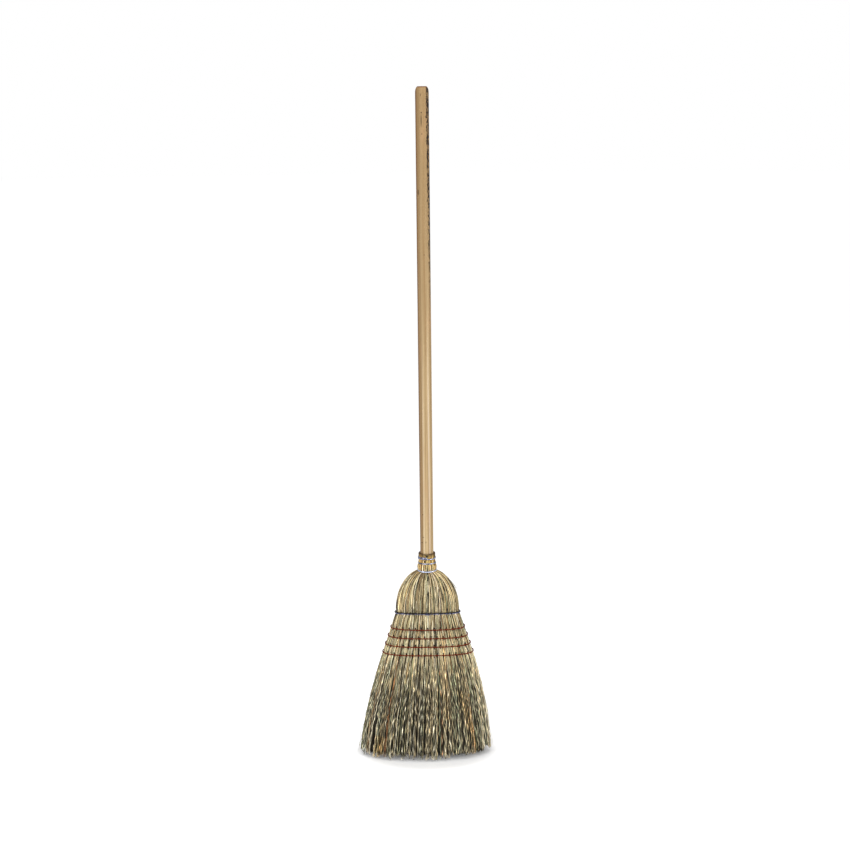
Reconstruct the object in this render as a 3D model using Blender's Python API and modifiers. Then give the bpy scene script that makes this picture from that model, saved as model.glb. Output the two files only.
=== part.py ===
"""Warehouse corn broom: turned handle, wired neck, domed shoulders, four sewn rows and a flared sweep.

Metres, +Z up. The origin is on the floor under the broom's middle and the flat front faces -Y.
Each outline of the head is a superellipse whose half sizes are functions of the height, and every
bundle, wire, stitch and hole is placed on those functions.
"""

import bisect
import math
import random

import bmesh
import bpy
from mathutils import Matrix, Vector

# Overall and handle
OVERALL_HEIGHT = 1.450
HANDLE_DIAMETER = 0.0286
HANDLE_END_ROUNDING = 0.006
HANDLE_INSERTION = 0.112
HANDLE_TAPER_LENGTH = 0.045
HANDLE_TIP_DIAMETER = 0.018

# Heights of the head, each measured up from the one before, starting at the floor
SWEEP_LENGTH = 0.2319
ROW_PITCH = 0.0186
ROWS_TO_SHOULDER = 0.0325
DOME_HEIGHT = 0.0940
LOWER_TO_MIDDLE_WIRE = 0.0168
MIDDLE_TO_UPPER_WIRE = 0.0098
UPPER_WIRE_TO_RIM = 0.0118
ROOT_DROP = 0.0200

# Stalk layers at the neck, measured outwards from the handle
FIT_GAP = 0.0003
INNER_LAYER = 0.0013
NECK_LAYER = 0.0025
COLLAR_LAYER = 0.0029
COLLAR_BULGE = 0.0022

# Width and depth of the head
SHOULDER_WIDTH = 0.1370
SHOULDER_DEPTH = 0.0410
DOME_FULLNESS = 0.0065
LAST_ROW_WIDTH = 0.1950
LAST_ROW_DEPTH = 0.0800
SWEEP_WIDTH = 0.2870
SWEEP_DEPTH = 0.1340
BUNDLE_GAP = 0.0003
CORE_GAP = 0.0008

# Wires, twine and tacks
NECK_WIRE_DIAMETER = 0.0026
NECK_WIRE_SADDLE = 0.0010
NECK_WIRE_TURN_GAP = 0.0006
INNER_WIRE_DIAMETER = 0.0012
INNER_WIRE_TURN_GAP = 0.0009
SHOULDER_WIRE_DIAMETER = 0.0030
SHOULDER_TWIST_DIAMETER = 0.0050
SHOULDER_TWIST_LENGTH = 0.0090
TWINE_DIAMETER = 0.0022
TWINE_SLACK = 0.0003
STITCH_DIAMETER = 0.0015
STITCH_PITCH = 0.0135
STITCH_END_MARGIN = 0.0070
NEEDLE_HOLE_CLEARANCE = 0.0005
TACK_HEAD_DIAMETER = 0.0032
TACK_HEAD_THICKNESS = 0.0008
TACK_SHANK_DIAMETER = 0.0012
TACK_LENGTH = 0.0110
TACK_HOLE_CLEARANCE = 0.0004
LEAST_WIRE_GAP = 0.0004

# Ragged ends of the free fibres
RAGGED_LENGTH = 0.0090
CUT_OVERRUN = 0.0020

# Counts
ROW_COUNT = 4
FRONT_BUNCHES = 5
HURL_COLUMNS = 5
HURL_LAYERS = 2
SHOULDER_COLUMNS = 4
SHOULDER_LAYERS = 3
CORE_COLUMNS = 6
CORE_LAYERS = 3
HANDLE_SIDES = 24
WIRE_LOOP_POINTS = 24
NECK_WIRE_TURNS = 3.5
CLIMB_TURNS = 0.32
INNER_WIRE_TURNS = 3
INNER_LOOP_POINTS = 16
BAND_END_POINTS = 7
SHOULDER_LOOP_POINTS = 40
TWIST_SIDES = 8
REST_SAMPLES = 9

# Proportions, chosen by eye against the photographed outline
DOME_STATION_SHARES = (0.08, 0.22, 0.42, 0.68)
DOME_RISE_SHARES = (2.4, 1.4)
FLARE_POWER_SHARE = 1.6
ROW_DEPTH_POWER_SHARE = 0.35
ROUND_SECTION_SHARE = 2.0
FLAT_SECTION_SHARE = 2.5
SLAB_SECTION_SHARE = 5.0
HURL_DEPTH_SHARE = 0.30
FRONT_SPREAD_SHARE = 0.92
INNER_WIDTH_SHARE = 0.42
SHOULDER_CORNER_SHARE = 0.86
STRAND_MIDDLE_SHARE = 0.55
STRAND_SIZE_SHARES = (0.80, 0.50)
STRAND_LEAN_SHARE = 0.60
RAGGED_SHARE = 0.45
STRAND_SEED = 11

# Heights that follow from the chain above
ROW_HEIGHTS = [SWEEP_LENGTH + ROW_PITCH * row for row in reversed(range(ROW_COUNT))]
ROOT_HEIGHT = SWEEP_LENGTH - ROOT_DROP
SHOULDER_HEIGHT = ROW_HEIGHTS[0] + ROWS_TO_SHOULDER
LOWER_WIRE_HEIGHT = SHOULDER_HEIGHT + DOME_HEIGHT
MIDDLE_WIRE_HEIGHT = LOWER_WIRE_HEIGHT + LOWER_TO_MIDDLE_WIRE
UPPER_WIRE_HEIGHT = MIDDLE_WIRE_HEIGHT + MIDDLE_TO_UPPER_WIRE
RIM_HEIGHT = UPPER_WIRE_HEIGHT + UPPER_WIRE_TO_RIM
BULGE_HEIGHT = (LOWER_WIRE_HEIGHT + MIDDLE_WIRE_HEIGHT) / 2
DOME_HEIGHTS = [LOWER_WIRE_HEIGHT - share * DOME_HEIGHT for share in DOME_STATION_SHARES]
STATIONS = [
    RIM_HEIGHT, MIDDLE_WIRE_HEIGHT, BULGE_HEIGHT, LOWER_WIRE_HEIGHT, *DOME_HEIGHTS,
    SHOULDER_HEIGHT, ROW_HEIGHTS[0], ROW_HEIGHTS[-1], ROOT_HEIGHT,
]
INNER_TOP_HEIGHT = BULGE_HEIGHT
SHOULDER_TOP_HEIGHT = DOME_HEIGHTS[1]

# Radii at the neck, from the handle outwards
HANDLE_RADIUS = HANDLE_DIAMETER / 2
INNER_RADIUS = HANDLE_RADIUS + FIT_GAP + INNER_LAYER
NECK_RADIUS = INNER_RADIUS + FIT_GAP + NECK_LAYER
RIM_RADIUS = HANDLE_RADIUS + FIT_GAP + COLLAR_LAYER

# The twine's radius with the slack that keeps its straight runs clear of the round stalks
TWINE_RADIUS = TWINE_DIAMETER / 2 + TWINE_SLACK

STRAW = ("broomcorn_straw", (0.50, 0.42, 0.22), 0.75, 0.0)
WOOD = ("handle_wood", (0.62, 0.44, 0.24), 0.45, 0.0)
GALVANISED = ("galvanised_wire", (0.45, 0.46, 0.55), 0.35, 1.0)
DARK_WIRE = ("shoulder_wire_steel", (0.05, 0.06, 0.12), 0.40, 0.8)
TWINE = ("red_brown_twine", (0.26, 0.05, 0.02), 0.80, 0.0)
TACK_STEEL = ("blued_tack_steel", (0.03, 0.03, 0.04), 0.45, 0.9)


def blend(first, second, share):
    """The value a share of the way from first to second."""
    return first + (second - first) * share


def superellipse(angle, size):
    """A point of the outline whose size is (half width, half depth, exponent)."""
    half_width, half_depth, exponent = size
    cosine, sine = math.cos(angle), math.sin(angle)
    x = math.copysign(abs(cosine) ** (2 / exponent), cosine) * half_width
    y = math.copysign(abs(sine) ** (2 / exponent), sine) * half_depth
    return Vector((x, y))


def angle_at_share(share, exponent):
    """The angle of the outline's point on the front whose x is this share of the half width."""
    cosine = math.copysign(abs(share) ** (exponent / 2), share)
    return -math.acos(cosine)


def dome_share(height):
    """How far down the dome a height lies: 0 at the lower neck wire, 1 at the shoulder."""
    return (LOWER_WIRE_HEIGHT - height) / DOME_HEIGHT


def sweep_size(height):
    """Half width, half depth and exponent below the last row."""
    fall = min(max((SWEEP_LENGTH - height) / SWEEP_LENGTH, 0), 1)
    flare = 1 - (1 - fall) ** FLARE_POWER_SHARE
    return (
        blend(LAST_ROW_WIDTH, SWEEP_WIDTH, flare) / 2,
        blend(LAST_ROW_DEPTH, SWEEP_DEPTH, fall) / 2,
        blend(FLAT_SECTION_SHARE, ROUND_SECTION_SHARE, fall),
    )


def sewn_size(height):
    """Half width, half depth and exponent between the shoulder and the last row."""
    fall = (SHOULDER_HEIGHT - height) / (SHOULDER_HEIGHT - SWEEP_LENGTH)
    return (
        blend(SHOULDER_WIDTH, LAST_ROW_WIDTH, fall) / 2,
        blend(SHOULDER_DEPTH, LAST_ROW_DEPTH, fall**ROW_DEPTH_POWER_SHARE) / 2,
        FLAT_SECTION_SHARE,
    )


def dome_size(height):
    """Half width, half depth and exponent between the lower neck wire and the shoulder."""
    share = dome_share(height)
    power, root = DOME_RISE_SHARES
    rise = (1 - (1 - share) ** power) ** (1 / root)
    fullness = DOME_FULLNESS * 4 * share * (1 - share)
    return (
        blend(NECK_RADIUS, SHOULDER_WIDTH / 2, rise),
        blend(NECK_RADIUS, SHOULDER_DEPTH / 2, share) + fullness,
        blend(ROUND_SECTION_SHARE, FLAT_SECTION_SHARE, share),
    )


def collar_size(height):
    """The round collar: bulged between the lower and the middle wire, straight above."""
    share = min((height - LOWER_WIRE_HEIGHT) / LOWER_TO_MIDDLE_WIRE, 1)
    bulge = COLLAR_BULGE * 4 * share * (1 - share)
    radius = blend(NECK_RADIUS, RIM_RADIUS, share) + bulge
    return (radius, radius, ROUND_SECTION_SHARE)


def true_size(height):
    """The head's half width, half depth and exponent at any height."""
    if height <= SWEEP_LENGTH:
        return sweep_size(height)
    if height <= SHOULDER_HEIGHT:
        return sewn_size(height)
    if height <= LOWER_WIRE_HEIGHT:
        return dome_size(height)
    return collar_size(height)


def hurl_thickness(height):
    """Thickness of the cover stalks, from the handle's collar to the sweep."""
    if height > BULGE_HEIGHT:
        return COLLAR_LAYER
    if height >= LOWER_WIRE_HEIGHT:
        return NECK_LAYER
    share = min(dome_share(height), 1)
    return blend(NECK_LAYER, HURL_DEPTH_SHARE * true_size(height)[1], share)


def surface_size(height):
    """The half sizes of the straight loft between the two stations round a height."""
    rising = STATIONS[::-1]
    place = min(max(bisect.bisect_left(rising, height), 1), len(rising) - 1)
    low, high = rising[place - 1], rising[place]
    share = (height - low) / (high - low)
    return tuple(blend(a, b, share) for a, b in zip(true_size(low), true_size(high)))


def hurl_inner_size(height):
    """The outline inside the cover stalks."""
    half_width, half_depth, exponent = true_size(height)
    thickness = hurl_thickness(height)
    return (half_width - thickness, half_depth - thickness, exponent)


def core_size(height):
    """The outline round the inner stalks and both shoulders, a gap inside the cover."""
    half_width, half_depth, exponent = hurl_inner_size(height)
    return (half_width - CORE_GAP, half_depth - CORE_GAP, exponent)


def inner_bundle_size(height):
    """The outline of the inner stalks: round on the handle, a slab in the sweep."""
    if height >= SHOULDER_TOP_HEIGHT:
        butts = hurl_inner_size(height)[0] - FIT_GAP
        radius = butts if height > LOWER_WIRE_HEIGHT else INNER_RADIUS
        return (radius, radius, ROUND_SECTION_SHARE)
    half_width, half_depth, exponent = core_size(height)
    inside = (1 - INNER_WIDTH_SHARE**exponent) ** (1 / exponent)
    wide = max(half_width * INNER_WIDTH_SHARE, INNER_RADIUS)
    return (wide, half_depth * inside, SLAB_SECTION_SHARE)


def along(angle, size, distance):
    """The angle reached by going this distance along the outline."""
    step = math.radians(1)
    there = superellipse(angle + step, size)
    back = superellipse(angle - step, size)
    return angle + 2 * step * distance / (there - back).length


def arc(start, end, count, size, inset):
    """Points of an outline between two angles, drawn in by the inset at both ends."""
    start = along(start, size, inset)
    end = along(end, size, -inset)
    return [superellipse(blend(start, end, i / count), size) for i in range(count + 1)]


def straight(start, end, count):
    """Points of a straight line."""
    return [start.lerp(end, i / count) for i in range(count + 1)]


def patch(bottom, top, left, right):
    """A grid of points filling four edge curves, row by row from the bottom edge."""
    columns, rows = len(bottom) - 1, len(left) - 1
    grid = []
    for j in range(rows + 1):
        v = j / rows
        row = []
        for i in range(columns + 1):
            u = i / columns
            corners = bottom[0].lerp(bottom[-1], u).lerp(top[0].lerp(top[-1], u), v)
            row.append(bottom[i].lerp(top[i], v) + left[j].lerp(right[j], u) - corners)
        grid.append(row)
    return grid


def sector_patch(start_share, end_share, height):
    """One cover bunch of the front, between two shares of the half width."""
    edges = []
    for size in (true_size(height), hurl_inner_size(height)):
        start = angle_at_share(start_share, size[2])
        end = angle_at_share(end_share, size[2])
        edges.append(arc(start, end, HURL_COLUMNS, size, BUNDLE_GAP / 2))
    return ring_sector(*edges)


def side_patch(height):
    """The cover bunch of the right side."""
    edges = []
    for size in (true_size(height), hurl_inner_size(height)):
        end = -angle_at_share(FRONT_SPREAD_SHARE, size[2])
        edges.append(arc(-end, end, HURL_COLUMNS, size, BUNDLE_GAP / 2))
    return ring_sector(*edges)


def ring_sector(outer, inner):
    """The grid between an outer and an inner arc."""
    left = straight(outer[0], inner[0], HURL_LAYERS)
    right = straight(outer[-1], inner[-1], HURL_LAYERS)
    return patch(outer, inner, left, right)


def shoulder_patch(height):
    """The right shoulder: from a flat wall beside the inner stalks out to the round side."""
    size = core_size(height)
    wall = inner_bundle_size(height)[0] + CORE_GAP
    wall_angle = angle_at_share(wall / size[0], size[2])
    corner_share = max(SHOULDER_CORNER_SHARE, blend(wall / size[0], 1, 1 / 2))
    corner_angle = angle_at_share(corner_share, size[2])
    bottom = arc(wall_angle, corner_angle, SHOULDER_COLUMNS, size, 0)
    top = arc(-wall_angle, -corner_angle, SHOULDER_COLUMNS, size, 0)
    right = arc(corner_angle, -corner_angle, SHOULDER_LAYERS, size, 0)
    left = straight(bottom[0], top[0], SHOULDER_LAYERS)
    return patch(bottom, top, left, right)


def inner_patch(height):
    """The inner stalks' whole section."""
    size = inner_bundle_size(height)
    quarter = math.pi / 2
    corner = quarter / 2
    bottom = arc(-quarter - corner, -corner, CORE_COLUMNS, size, 0)
    top = arc(quarter + corner, corner, CORE_COLUMNS, size, 0)
    right = arc(-corner, corner, CORE_LAYERS, size, 0)
    left = arc(2 * quarter + corner, 2 * quarter - corner, CORE_LAYERS, size, 0)
    return patch(bottom, top, left, right)


def rim_of(grid):
    """The grid's outer points in one anticlockwise ring."""
    right = [row[-1] for row in grid[1:]]
    left = [row[0] for row in reversed(grid[1:-1])]
    return grid[0] + right + list(reversed(grid[-1][:-1])) + left


def strand_corners(grid, tile, size_share, centre_weights):
    """A triangle of the grid drawn in towards a point of its own inside."""
    corners = [grid[j][i] for i, j in tile]
    centre = sum((c * w for c, w in zip(corners, centre_weights)), Vector((0, 0)))
    return [centre.lerp(corner, size_share) for corner in corners]


def random_weights(generator):
    """Weights of a point well inside a triangle."""
    lean = [blend(1, generator.random() * 3, STRAND_LEAN_SHARE) for _ in range(3)]
    return [weight / sum(lean) for weight in lean]


def tiles_of(grid):
    """The grid's cells, each split into two triangles, turned to face down."""
    tiles = []
    for j in range(len(grid) - 1):
        for i in range(len(grid[0]) - 1):
            if (i + j) % 2:
                tiles.append(((i, j), (i, j + 1), (i + 1, j)))
                tiles.append(((i + 1, j), (i, j + 1), (i + 1, j + 1)))
            else:
                tiles.append(((i, j), (i, j + 1), (i + 1, j + 1)))
                tiles.append(((i, j), (i + 1, j + 1), (i + 1, j)))
    return tiles


def pull_strand(bm, face, corners, height):
    """Extrudes a strand's end face down to a new height and section."""
    made = bmesh.ops.extrude_discrete_faces(bm, faces=[face])["faces"][0]
    for vertex, corner in zip(made.verts, corners):
        vertex.co = (corner.x, corner.y, height)
    return made


def bundle_mesh(name, grid_at, heights, seed):
    """A loft through the heights, whose lower face is pulled down into separate strands."""
    bm = bmesh.new()
    rings = []
    for height in heights:
        grid = grid_at(height)
        if height != heights[-1]:
            rings.append([bm.verts.new((p.x, p.y, height)) for p in rim_of(grid)])
    root = [[bm.verts.new((p.x, p.y, heights[-1])) for p in row] for row in grid]
    rings.append(rim_of(root))
    for upper, lower in zip(rings, rings[1:]):
        for i in range(len(upper)):
            after = (i + 1) % len(upper)
            bm.faces.new((upper[i], lower[i], lower[after], upper[after]))
    bm.faces.new(rings[0])
    middle = heights[-1] * (1 - STRAND_MIDDLE_SHARE)
    grids = {share: grid_at(z) for share, z in zip(STRAND_SIZE_SHARES, (middle, 0))}
    generator = random.Random(seed)
    for tile in tiles_of(root):
        face = bm.faces.new([root[j][i] for i, j in tile])
        ragged = generator.random()
        tip = RAGGED_LENGTH * max(ragged - RAGGED_SHARE, 0)
        for (share, grid), height in zip(grids.items(), (middle, tip)):
            corners = strand_corners(grid, tile, share, random_weights(generator))
            face = pull_strand(bm, face, corners, height)
    bmesh.ops.triangulate(bm, faces=bm.faces[:], quad_method="SHORT_EDGE")
    mesh = bpy.data.meshes.new(name)
    bm.to_mesh(mesh)
    bm.free()
    return mesh


def make_material(finish):
    """A Principled material from (name, colour, roughness, metallic), made once."""
    name, colour, roughness, metallic = finish
    material = bpy.data.materials.get(name)
    if material is None:
        material = bpy.data.materials.new(name)
        material.use_nodes = True
        shader = material.node_tree.nodes["Principled BSDF"]
        shader.inputs["Base Color"].default_value = (*colour, 1.0)
        shader.inputs["Roughness"].default_value = roughness
        shader.inputs["Metallic"].default_value = metallic
    return material


def place(name, data, collection, finish=None, turn=0):
    """Adds an object to a collection, with its finish, turned about Z."""
    obj = bpy.data.objects.new(name, data)
    collection.objects.link(obj)
    obj.rotation_euler.z = turn
    if finish:
        data.materials.clear()
        data.materials.append(make_material(finish))
    return obj


def as_cutter(obj):
    """Marks an object as a tool that isn't part of the broom."""
    obj.hide_render = True
    obj.display_type = "WIRE"
    return obj


def boolean(obj, other, operation):
    """Cuts or joins another object with an exact Boolean."""
    modifier = obj.modifiers.new(other.name, "BOOLEAN")
    modifier.operation = operation
    modifier.solver = "EXACT"
    modifier.object = other


def smooth(obj, sharp_degrees=35):
    """Shades a round piece smooth, keeping its real edges."""
    obj.data.shade_smooth()
    obj.data.set_sharp_from_angle(angle=math.radians(sharp_degrees))


def tube_object(name, points, diameter, cyclic, resolution, collection, finish):
    """A wire or twine as a bevelled curve, made a mesh so that it can be joined."""
    curve = bpy.data.curves.new(name, "CURVE")
    curve.dimensions = "3D"
    curve.bevel_depth = diameter / 2
    curve.bevel_resolution = resolution
    curve.use_fill_caps = True
    spline = curve.splines.new("POLY")
    spline.points.add(len(points) - 1)
    for point, place_of in zip(spline.points, points):
        point.co = (*place_of, 1.0)
    spline.use_cyclic_u = cyclic
    drawn = bpy.data.objects.new(name + "_curve", curve)
    collection.objects.link(drawn)
    depsgraph = bpy.context.evaluated_depsgraph_get()
    mesh = bpy.data.meshes.new_from_object(drawn.evaluated_get(depsgraph))
    bpy.data.objects.remove(drawn)
    bm = bmesh.new()
    bm.from_mesh(mesh)
    bmesh.ops.remove_doubles(bm, verts=bm.verts[:], dist=FIT_GAP / 10)
    bm.to_mesh(mesh)
    bm.free()
    mesh.name = name
    return place(name, mesh, collection, finish)


def outward(angle, size):
    """The outline's unit normal in plan."""
    step = math.radians(1)
    run = superellipse(angle + step, size) - superellipse(angle - step, size)
    return Vector((run.y, -run.x)).normalized()


def resting_point(angle, height, radius):
    """The centre of a round wire that lies on the lofted surface with the fit gap under it."""
    base_size = surface_size(height)
    normal = outward(angle, base_size)
    base = superellipse(angle, base_size)
    reach = radius + FIT_GAP
    furthest = 0
    for i in range(REST_SAMPLES):
        rise = reach * (2 * i / (REST_SAMPLES - 1) - 1)
        above = superellipse(angle, surface_size(height + rise)) - base
        furthest = max(furthest, above.dot(normal) + math.sqrt(max(reach**2 - rise**2, 0)))
    point = base + normal * furthest
    return Vector((point.x, point.y, height))


def least_gap(points, diameter, apart):
    """The least free space between stretches of one wire that are not neighbours along it."""
    least = math.inf
    for i, first in enumerate(points):
        for second in points[i + apart:]:
            least = min(least, (first - second).length - diameter)
    return least


def handle_profile():
    """The handle's outer side from the middle of its top to the middle of its tip."""
    tip_height = RIM_HEIGHT - HANDLE_INSERTION
    rounding = min(HANDLE_END_ROUNDING, HANDLE_RADIUS / 2)
    quarter = [math.pi / 2 * i / 4 for i in range(5)]
    profile = [(0, OVERALL_HEIGHT)]
    for angle in quarter:
        radius = HANDLE_RADIUS - rounding * (1 - math.sin(angle))
        profile.append((radius, OVERALL_HEIGHT - rounding * (1 - math.cos(angle))))
    profile.append((HANDLE_RADIUS, RIM_HEIGHT))
    profile.append((HANDLE_RADIUS, tip_height + HANDLE_TAPER_LENGTH))
    profile.append((HANDLE_TIP_DIAMETER / 2, tip_height))
    profile.append((0, tip_height))
    return profile


def bore_profile():
    """The seat of the handle in the inner stalks: the same taper, a fit gap larger."""
    tip_height = RIM_HEIGHT - HANDLE_INSERTION
    wall = HANDLE_RADIUS + FIT_GAP
    return [
        (0, RIM_HEIGHT),
        (wall, RIM_HEIGHT),
        (wall, tip_height + HANDLE_TAPER_LENGTH),
        (HANDLE_TIP_DIAMETER / 2 + FIT_GAP, tip_height),
        (HANDLE_TIP_DIAMETER / 2 + FIT_GAP, tip_height - FIT_GAP),
        (0, tip_height - FIT_GAP),
    ]


def turned_object(name, profile, collection, finish=None):
    """A turned shape: its profile spun about Z by a Screw modifier."""
    mesh = bpy.data.meshes.new(name)
    edges = [(i, i + 1) for i in range(len(profile) - 1)]
    mesh.from_pydata([(x, 0, z) for x, z in profile], edges, [])
    obj = place(name, mesh, collection, finish)
    screw = obj.modifiers.new("turn", "SCREW")
    screw.steps = screw.render_steps = HANDLE_SIDES
    screw.use_merge_vertices = True
    screw.merge_threshold = FIT_GAP / 10
    return obj


def front_angle_at(x, height, radius):
    """The outline angle at which a resting wire's centre has this x, on the front."""
    low, high = -math.pi + math.radians(1), -math.radians(1)
    for _ in range(40):
        middle = (low + high) / 2
        if resting_point(middle, height, radius).x < x:
            low = middle
        else:
            high = middle
    return (low + high) / 2


def stitch_places(height):
    """The x of each stitch in a row: even pitch, centred, with a margin at both ends."""
    room = 2 * (surface_size(height)[0] - STITCH_END_MARGIN)
    count = int(room / STITCH_PITCH) + 1
    return [STITCH_PITCH * (i - (count - 1) / 2) for i in range(count)]


def band_points(height):
    """A twine band round the head: a point at each stitch, more where it bends, and round ends."""
    angles = [front_angle_at(x, height, TWINE_RADIUS) for x in stitch_places(height)]
    front = []
    for first, second in zip(angles, angles[1:]):
        front.append(first)
        middle = (first + second) / 2
        ends = [resting_point(angle, height, TWINE_RADIUS) for angle in (first, second)]
        sag = resting_point(middle, height, TWINE_RADIUS) - ends[0].lerp(ends[1], 1 / 2)
        if sag.length > TWINE_SLACK:
            front.append(middle)
    front.append(angles[-1])
    end = angles[-1]
    count = BAND_END_POINTS + 1
    round_end = [blend(end, -end, i / count) for i in range(1, count)]
    half = front + round_end
    loop = half + [angle + math.pi for angle in half]
    return [resting_point(angle, height, TWINE_RADIUS) for angle in loop]


def box_between(bm, start, end, side):
    """A square bar from one point to another, built into a bmesh."""
    run = end - start
    turn = run.to_track_quat("Z", "Y").to_matrix().to_4x4()
    size = Matrix.Diagonal((side, side, run.length, 1))
    matrix = Matrix.Translation((start + end) / 2) @ turn @ size
    bmesh.ops.create_cube(bm, size=1, matrix=matrix)


def bars_object(name, lines, side, collection):
    """Square bars joined in one cutter or filler object."""
    bm = bmesh.new()
    for start, end in lines:
        box_between(bm, start, end, side)
    mesh = bpy.data.meshes.new(name)
    bm.to_mesh(mesh)
    bm.free()
    return as_cutter(place(name, mesh, collection))


def stitch_lines(height, overrun=0):
    """The straight way of each stitch through the head, between the band's two sides."""
    lines = []
    for x in stitch_places(height):
        angle = front_angle_at(x, height, TWINE_RADIUS)
        front = resting_point(angle, height, TWINE_RADIUS)
        reach = Vector((0, overrun, 0))
        lines.append((front - reach, Vector((front.x, -front.y, height)) + reach))
    return lines


def build_stitching(parts, tools):
    """Four rows of twine, each a band and its stitches made one."""
    for row, height in enumerate(ROW_HEIGHTS, 1):
        band = tube_object(
            f"stitch_twine_{row}", band_points(height), TWINE_DIAMETER, True, 0, parts, TWINE
        )
        lines = stitch_lines(height)
        stitches = bars_object(f"stitches_{row}", lines, STITCH_DIAMETER, tools)
        boolean(band, stitches, "UNION")


def needle_holes(tools):
    """One tool with a square hole for every stitch."""
    lines = []
    for height in ROW_HEIGHTS:
        lines += stitch_lines(height, CUT_OVERRUN)
    return bars_object("needle_holes", lines, STITCH_DIAMETER + 2 * NEEDLE_HOLE_CLEARANCE, tools)


def tack_seats():
    """Each tack's name, outline angle and height on the collar."""
    below_rim = UPPER_WIRE_TO_RIM / 2
    between = (MIDDLE_WIRE_HEIGHT + UPPER_WIRE_HEIGHT) / 2
    front = -math.pi / 2
    aside = math.atan2(TACK_HEAD_DIAMETER, NECK_RADIUS)
    rim_side = math.radians(-24)
    return [
        ("neck_tack_front", front, RIM_HEIGHT - below_rim + TACK_HEAD_THICKNESS),
        ("neck_tack_lower", front - aside, between),
        ("neck_tack_rim", rim_side, RIM_HEIGHT - below_rim + TACK_HEAD_THICKNESS),
    ]


def tack_line(angle, height, start_lift, depth):
    """A line straight into the collar, from a lift above its surface to a depth below it."""
    surface = superellipse(angle, surface_size(height))
    inward = -surface.normalized()
    start = surface - inward * start_lift
    end = surface + inward * depth
    return Vector((*start, height)), Vector((*end, height))


def tack_holes(tools):
    """One tool with a square hole for every tack's shank."""
    side = TACK_SHANK_DIAMETER + 2 * TACK_HOLE_CLEARANCE
    depth = TACK_LENGTH + TACK_HOLE_CLEARANCE
    lines = [tack_line(angle, height, CUT_OVERRUN, depth) for _, angle, height in tack_seats()]
    return bars_object("tack_holes", lines, side, tools)


def build_tacks(parts):
    """Small tacks through the collar into the handle, each head flat on the stalks."""
    for name, angle, height in tack_seats():
        top, tip = tack_line(angle, height, FIT_GAP + TACK_HEAD_THICKNESS, TACK_LENGTH)
        head, shank = TACK_HEAD_DIAMETER / 2, TACK_SHANK_DIAMETER / 2
        length = (tip - top).length
        profile = [
            (0, 0), (head, 0), (head, -TACK_HEAD_THICKNESS), (shank, -TACK_HEAD_THICKNESS),
            (shank, -length + TACK_HEAD_DIAMETER), (0, -length),
        ]
        tack = turned_object(name, profile, parts, TACK_STEEL)
        tack.modifiers["turn"].steps = tack.modifiers["turn"].render_steps = TWIST_SIDES
        tack.location = top
        tack.rotation_euler = (top - tip).to_track_quat("Z", "Y").to_euler()


def climb(turn, start, end):
    """A soft rise from 0 to 1 between two counts of turns."""
    share = min(max((turn - start) / (end - start), 0), 1)
    return share * share * (3 - 2 * share)


def neck_wire_points():
    """One wire: lower turn, climb at the back, middle turn, climb, upper turn, end at the tack."""
    radius = NECK_WIRE_DIAMETER / 2
    count = int(NECK_WIRE_TURNS * WIRE_LOOP_POINTS)
    lower_climb, upper_climb = (
        (level - CLIMB_TURNS / 2, level + CLIMB_TURNS / 2) for level in (1, 2)
    )
    last_rise = NECK_WIRE_DIAMETER + NECK_WIRE_TURN_GAP
    points = []
    for i in range(count + 1):
        turn = i / WIRE_LOOP_POINTS
        angle = math.pi / 2 + 2 * math.pi * turn
        height = LOWER_WIRE_HEIGHT + LOWER_TO_MIDDLE_WIRE * climb(turn, *lower_climb)
        height += MIDDLE_TO_UPPER_WIRE * climb(turn, *upper_climb)
        height += last_rise * climb(turn, NECK_WIRE_TURNS - 1, NECK_WIRE_TURNS - 1 / 3)
        saddle = NECK_WIRE_SADDLE * math.cos(2 * angle)
        height += saddle * (1 - climb(turn, *lower_climb))
        points.append(resting_point(angle, height, radius))
    return points


def inner_wire_points():
    """The hidden turns that bind the inner stalks to the handle."""
    pitch = INNER_WIRE_DIAMETER + INNER_WIRE_TURN_GAP
    reach = INNER_RADIUS + FIT_GAP + INNER_WIRE_DIAMETER / 2
    top = (DOME_HEIGHTS[0] + SHOULDER_TOP_HEIGHT) / 2 + pitch * INNER_WIRE_TURNS / 2
    points = []
    for i in range(INNER_WIRE_TURNS * INNER_LOOP_POINTS + 1):
        turn = i / INNER_LOOP_POINTS
        angle = math.pi / 2 + 2 * math.pi * turn
        points.append(Vector((reach * math.cos(angle), reach * math.sin(angle), top - pitch * turn)))
    return points


def build_wires(parts, tools):
    """Neck wire, hidden inner wire and shoulder wire."""
    wires = (
        ("neck_wire", neck_wire_points(), NECK_WIRE_DIAMETER, WIRE_LOOP_POINTS, 1),
        ("inner_wire", inner_wire_points(), INNER_WIRE_DIAMETER, INNER_LOOP_POINTS, 0),
    )
    for name, points, diameter, loop, resolution in wires:
        gap = least_gap(points, diameter, loop // 2)
        print(f"{name}: least gap to itself {gap * 1000:.2f} mm")
        assert gap > LEAST_WIRE_GAP, name
        smooth(tube_object(name, points, diameter, False, resolution, parts, GALVANISED))
    radius = SHOULDER_WIRE_DIAMETER / 2
    count = SHOULDER_LOOP_POINTS
    angles = [2 * math.pi * (i + 1 / 2) / count for i in range(count)]
    loop = [resting_point(angle, SHOULDER_HEIGHT, radius) for angle in angles]
    wire = tube_object(
        "shoulder_wire", loop, SHOULDER_WIRE_DIAMETER, True, 1, parts, DARK_WIRE
    )
    boolean(wire, shoulder_twist(tools), "UNION")
    smooth(wire)


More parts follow.
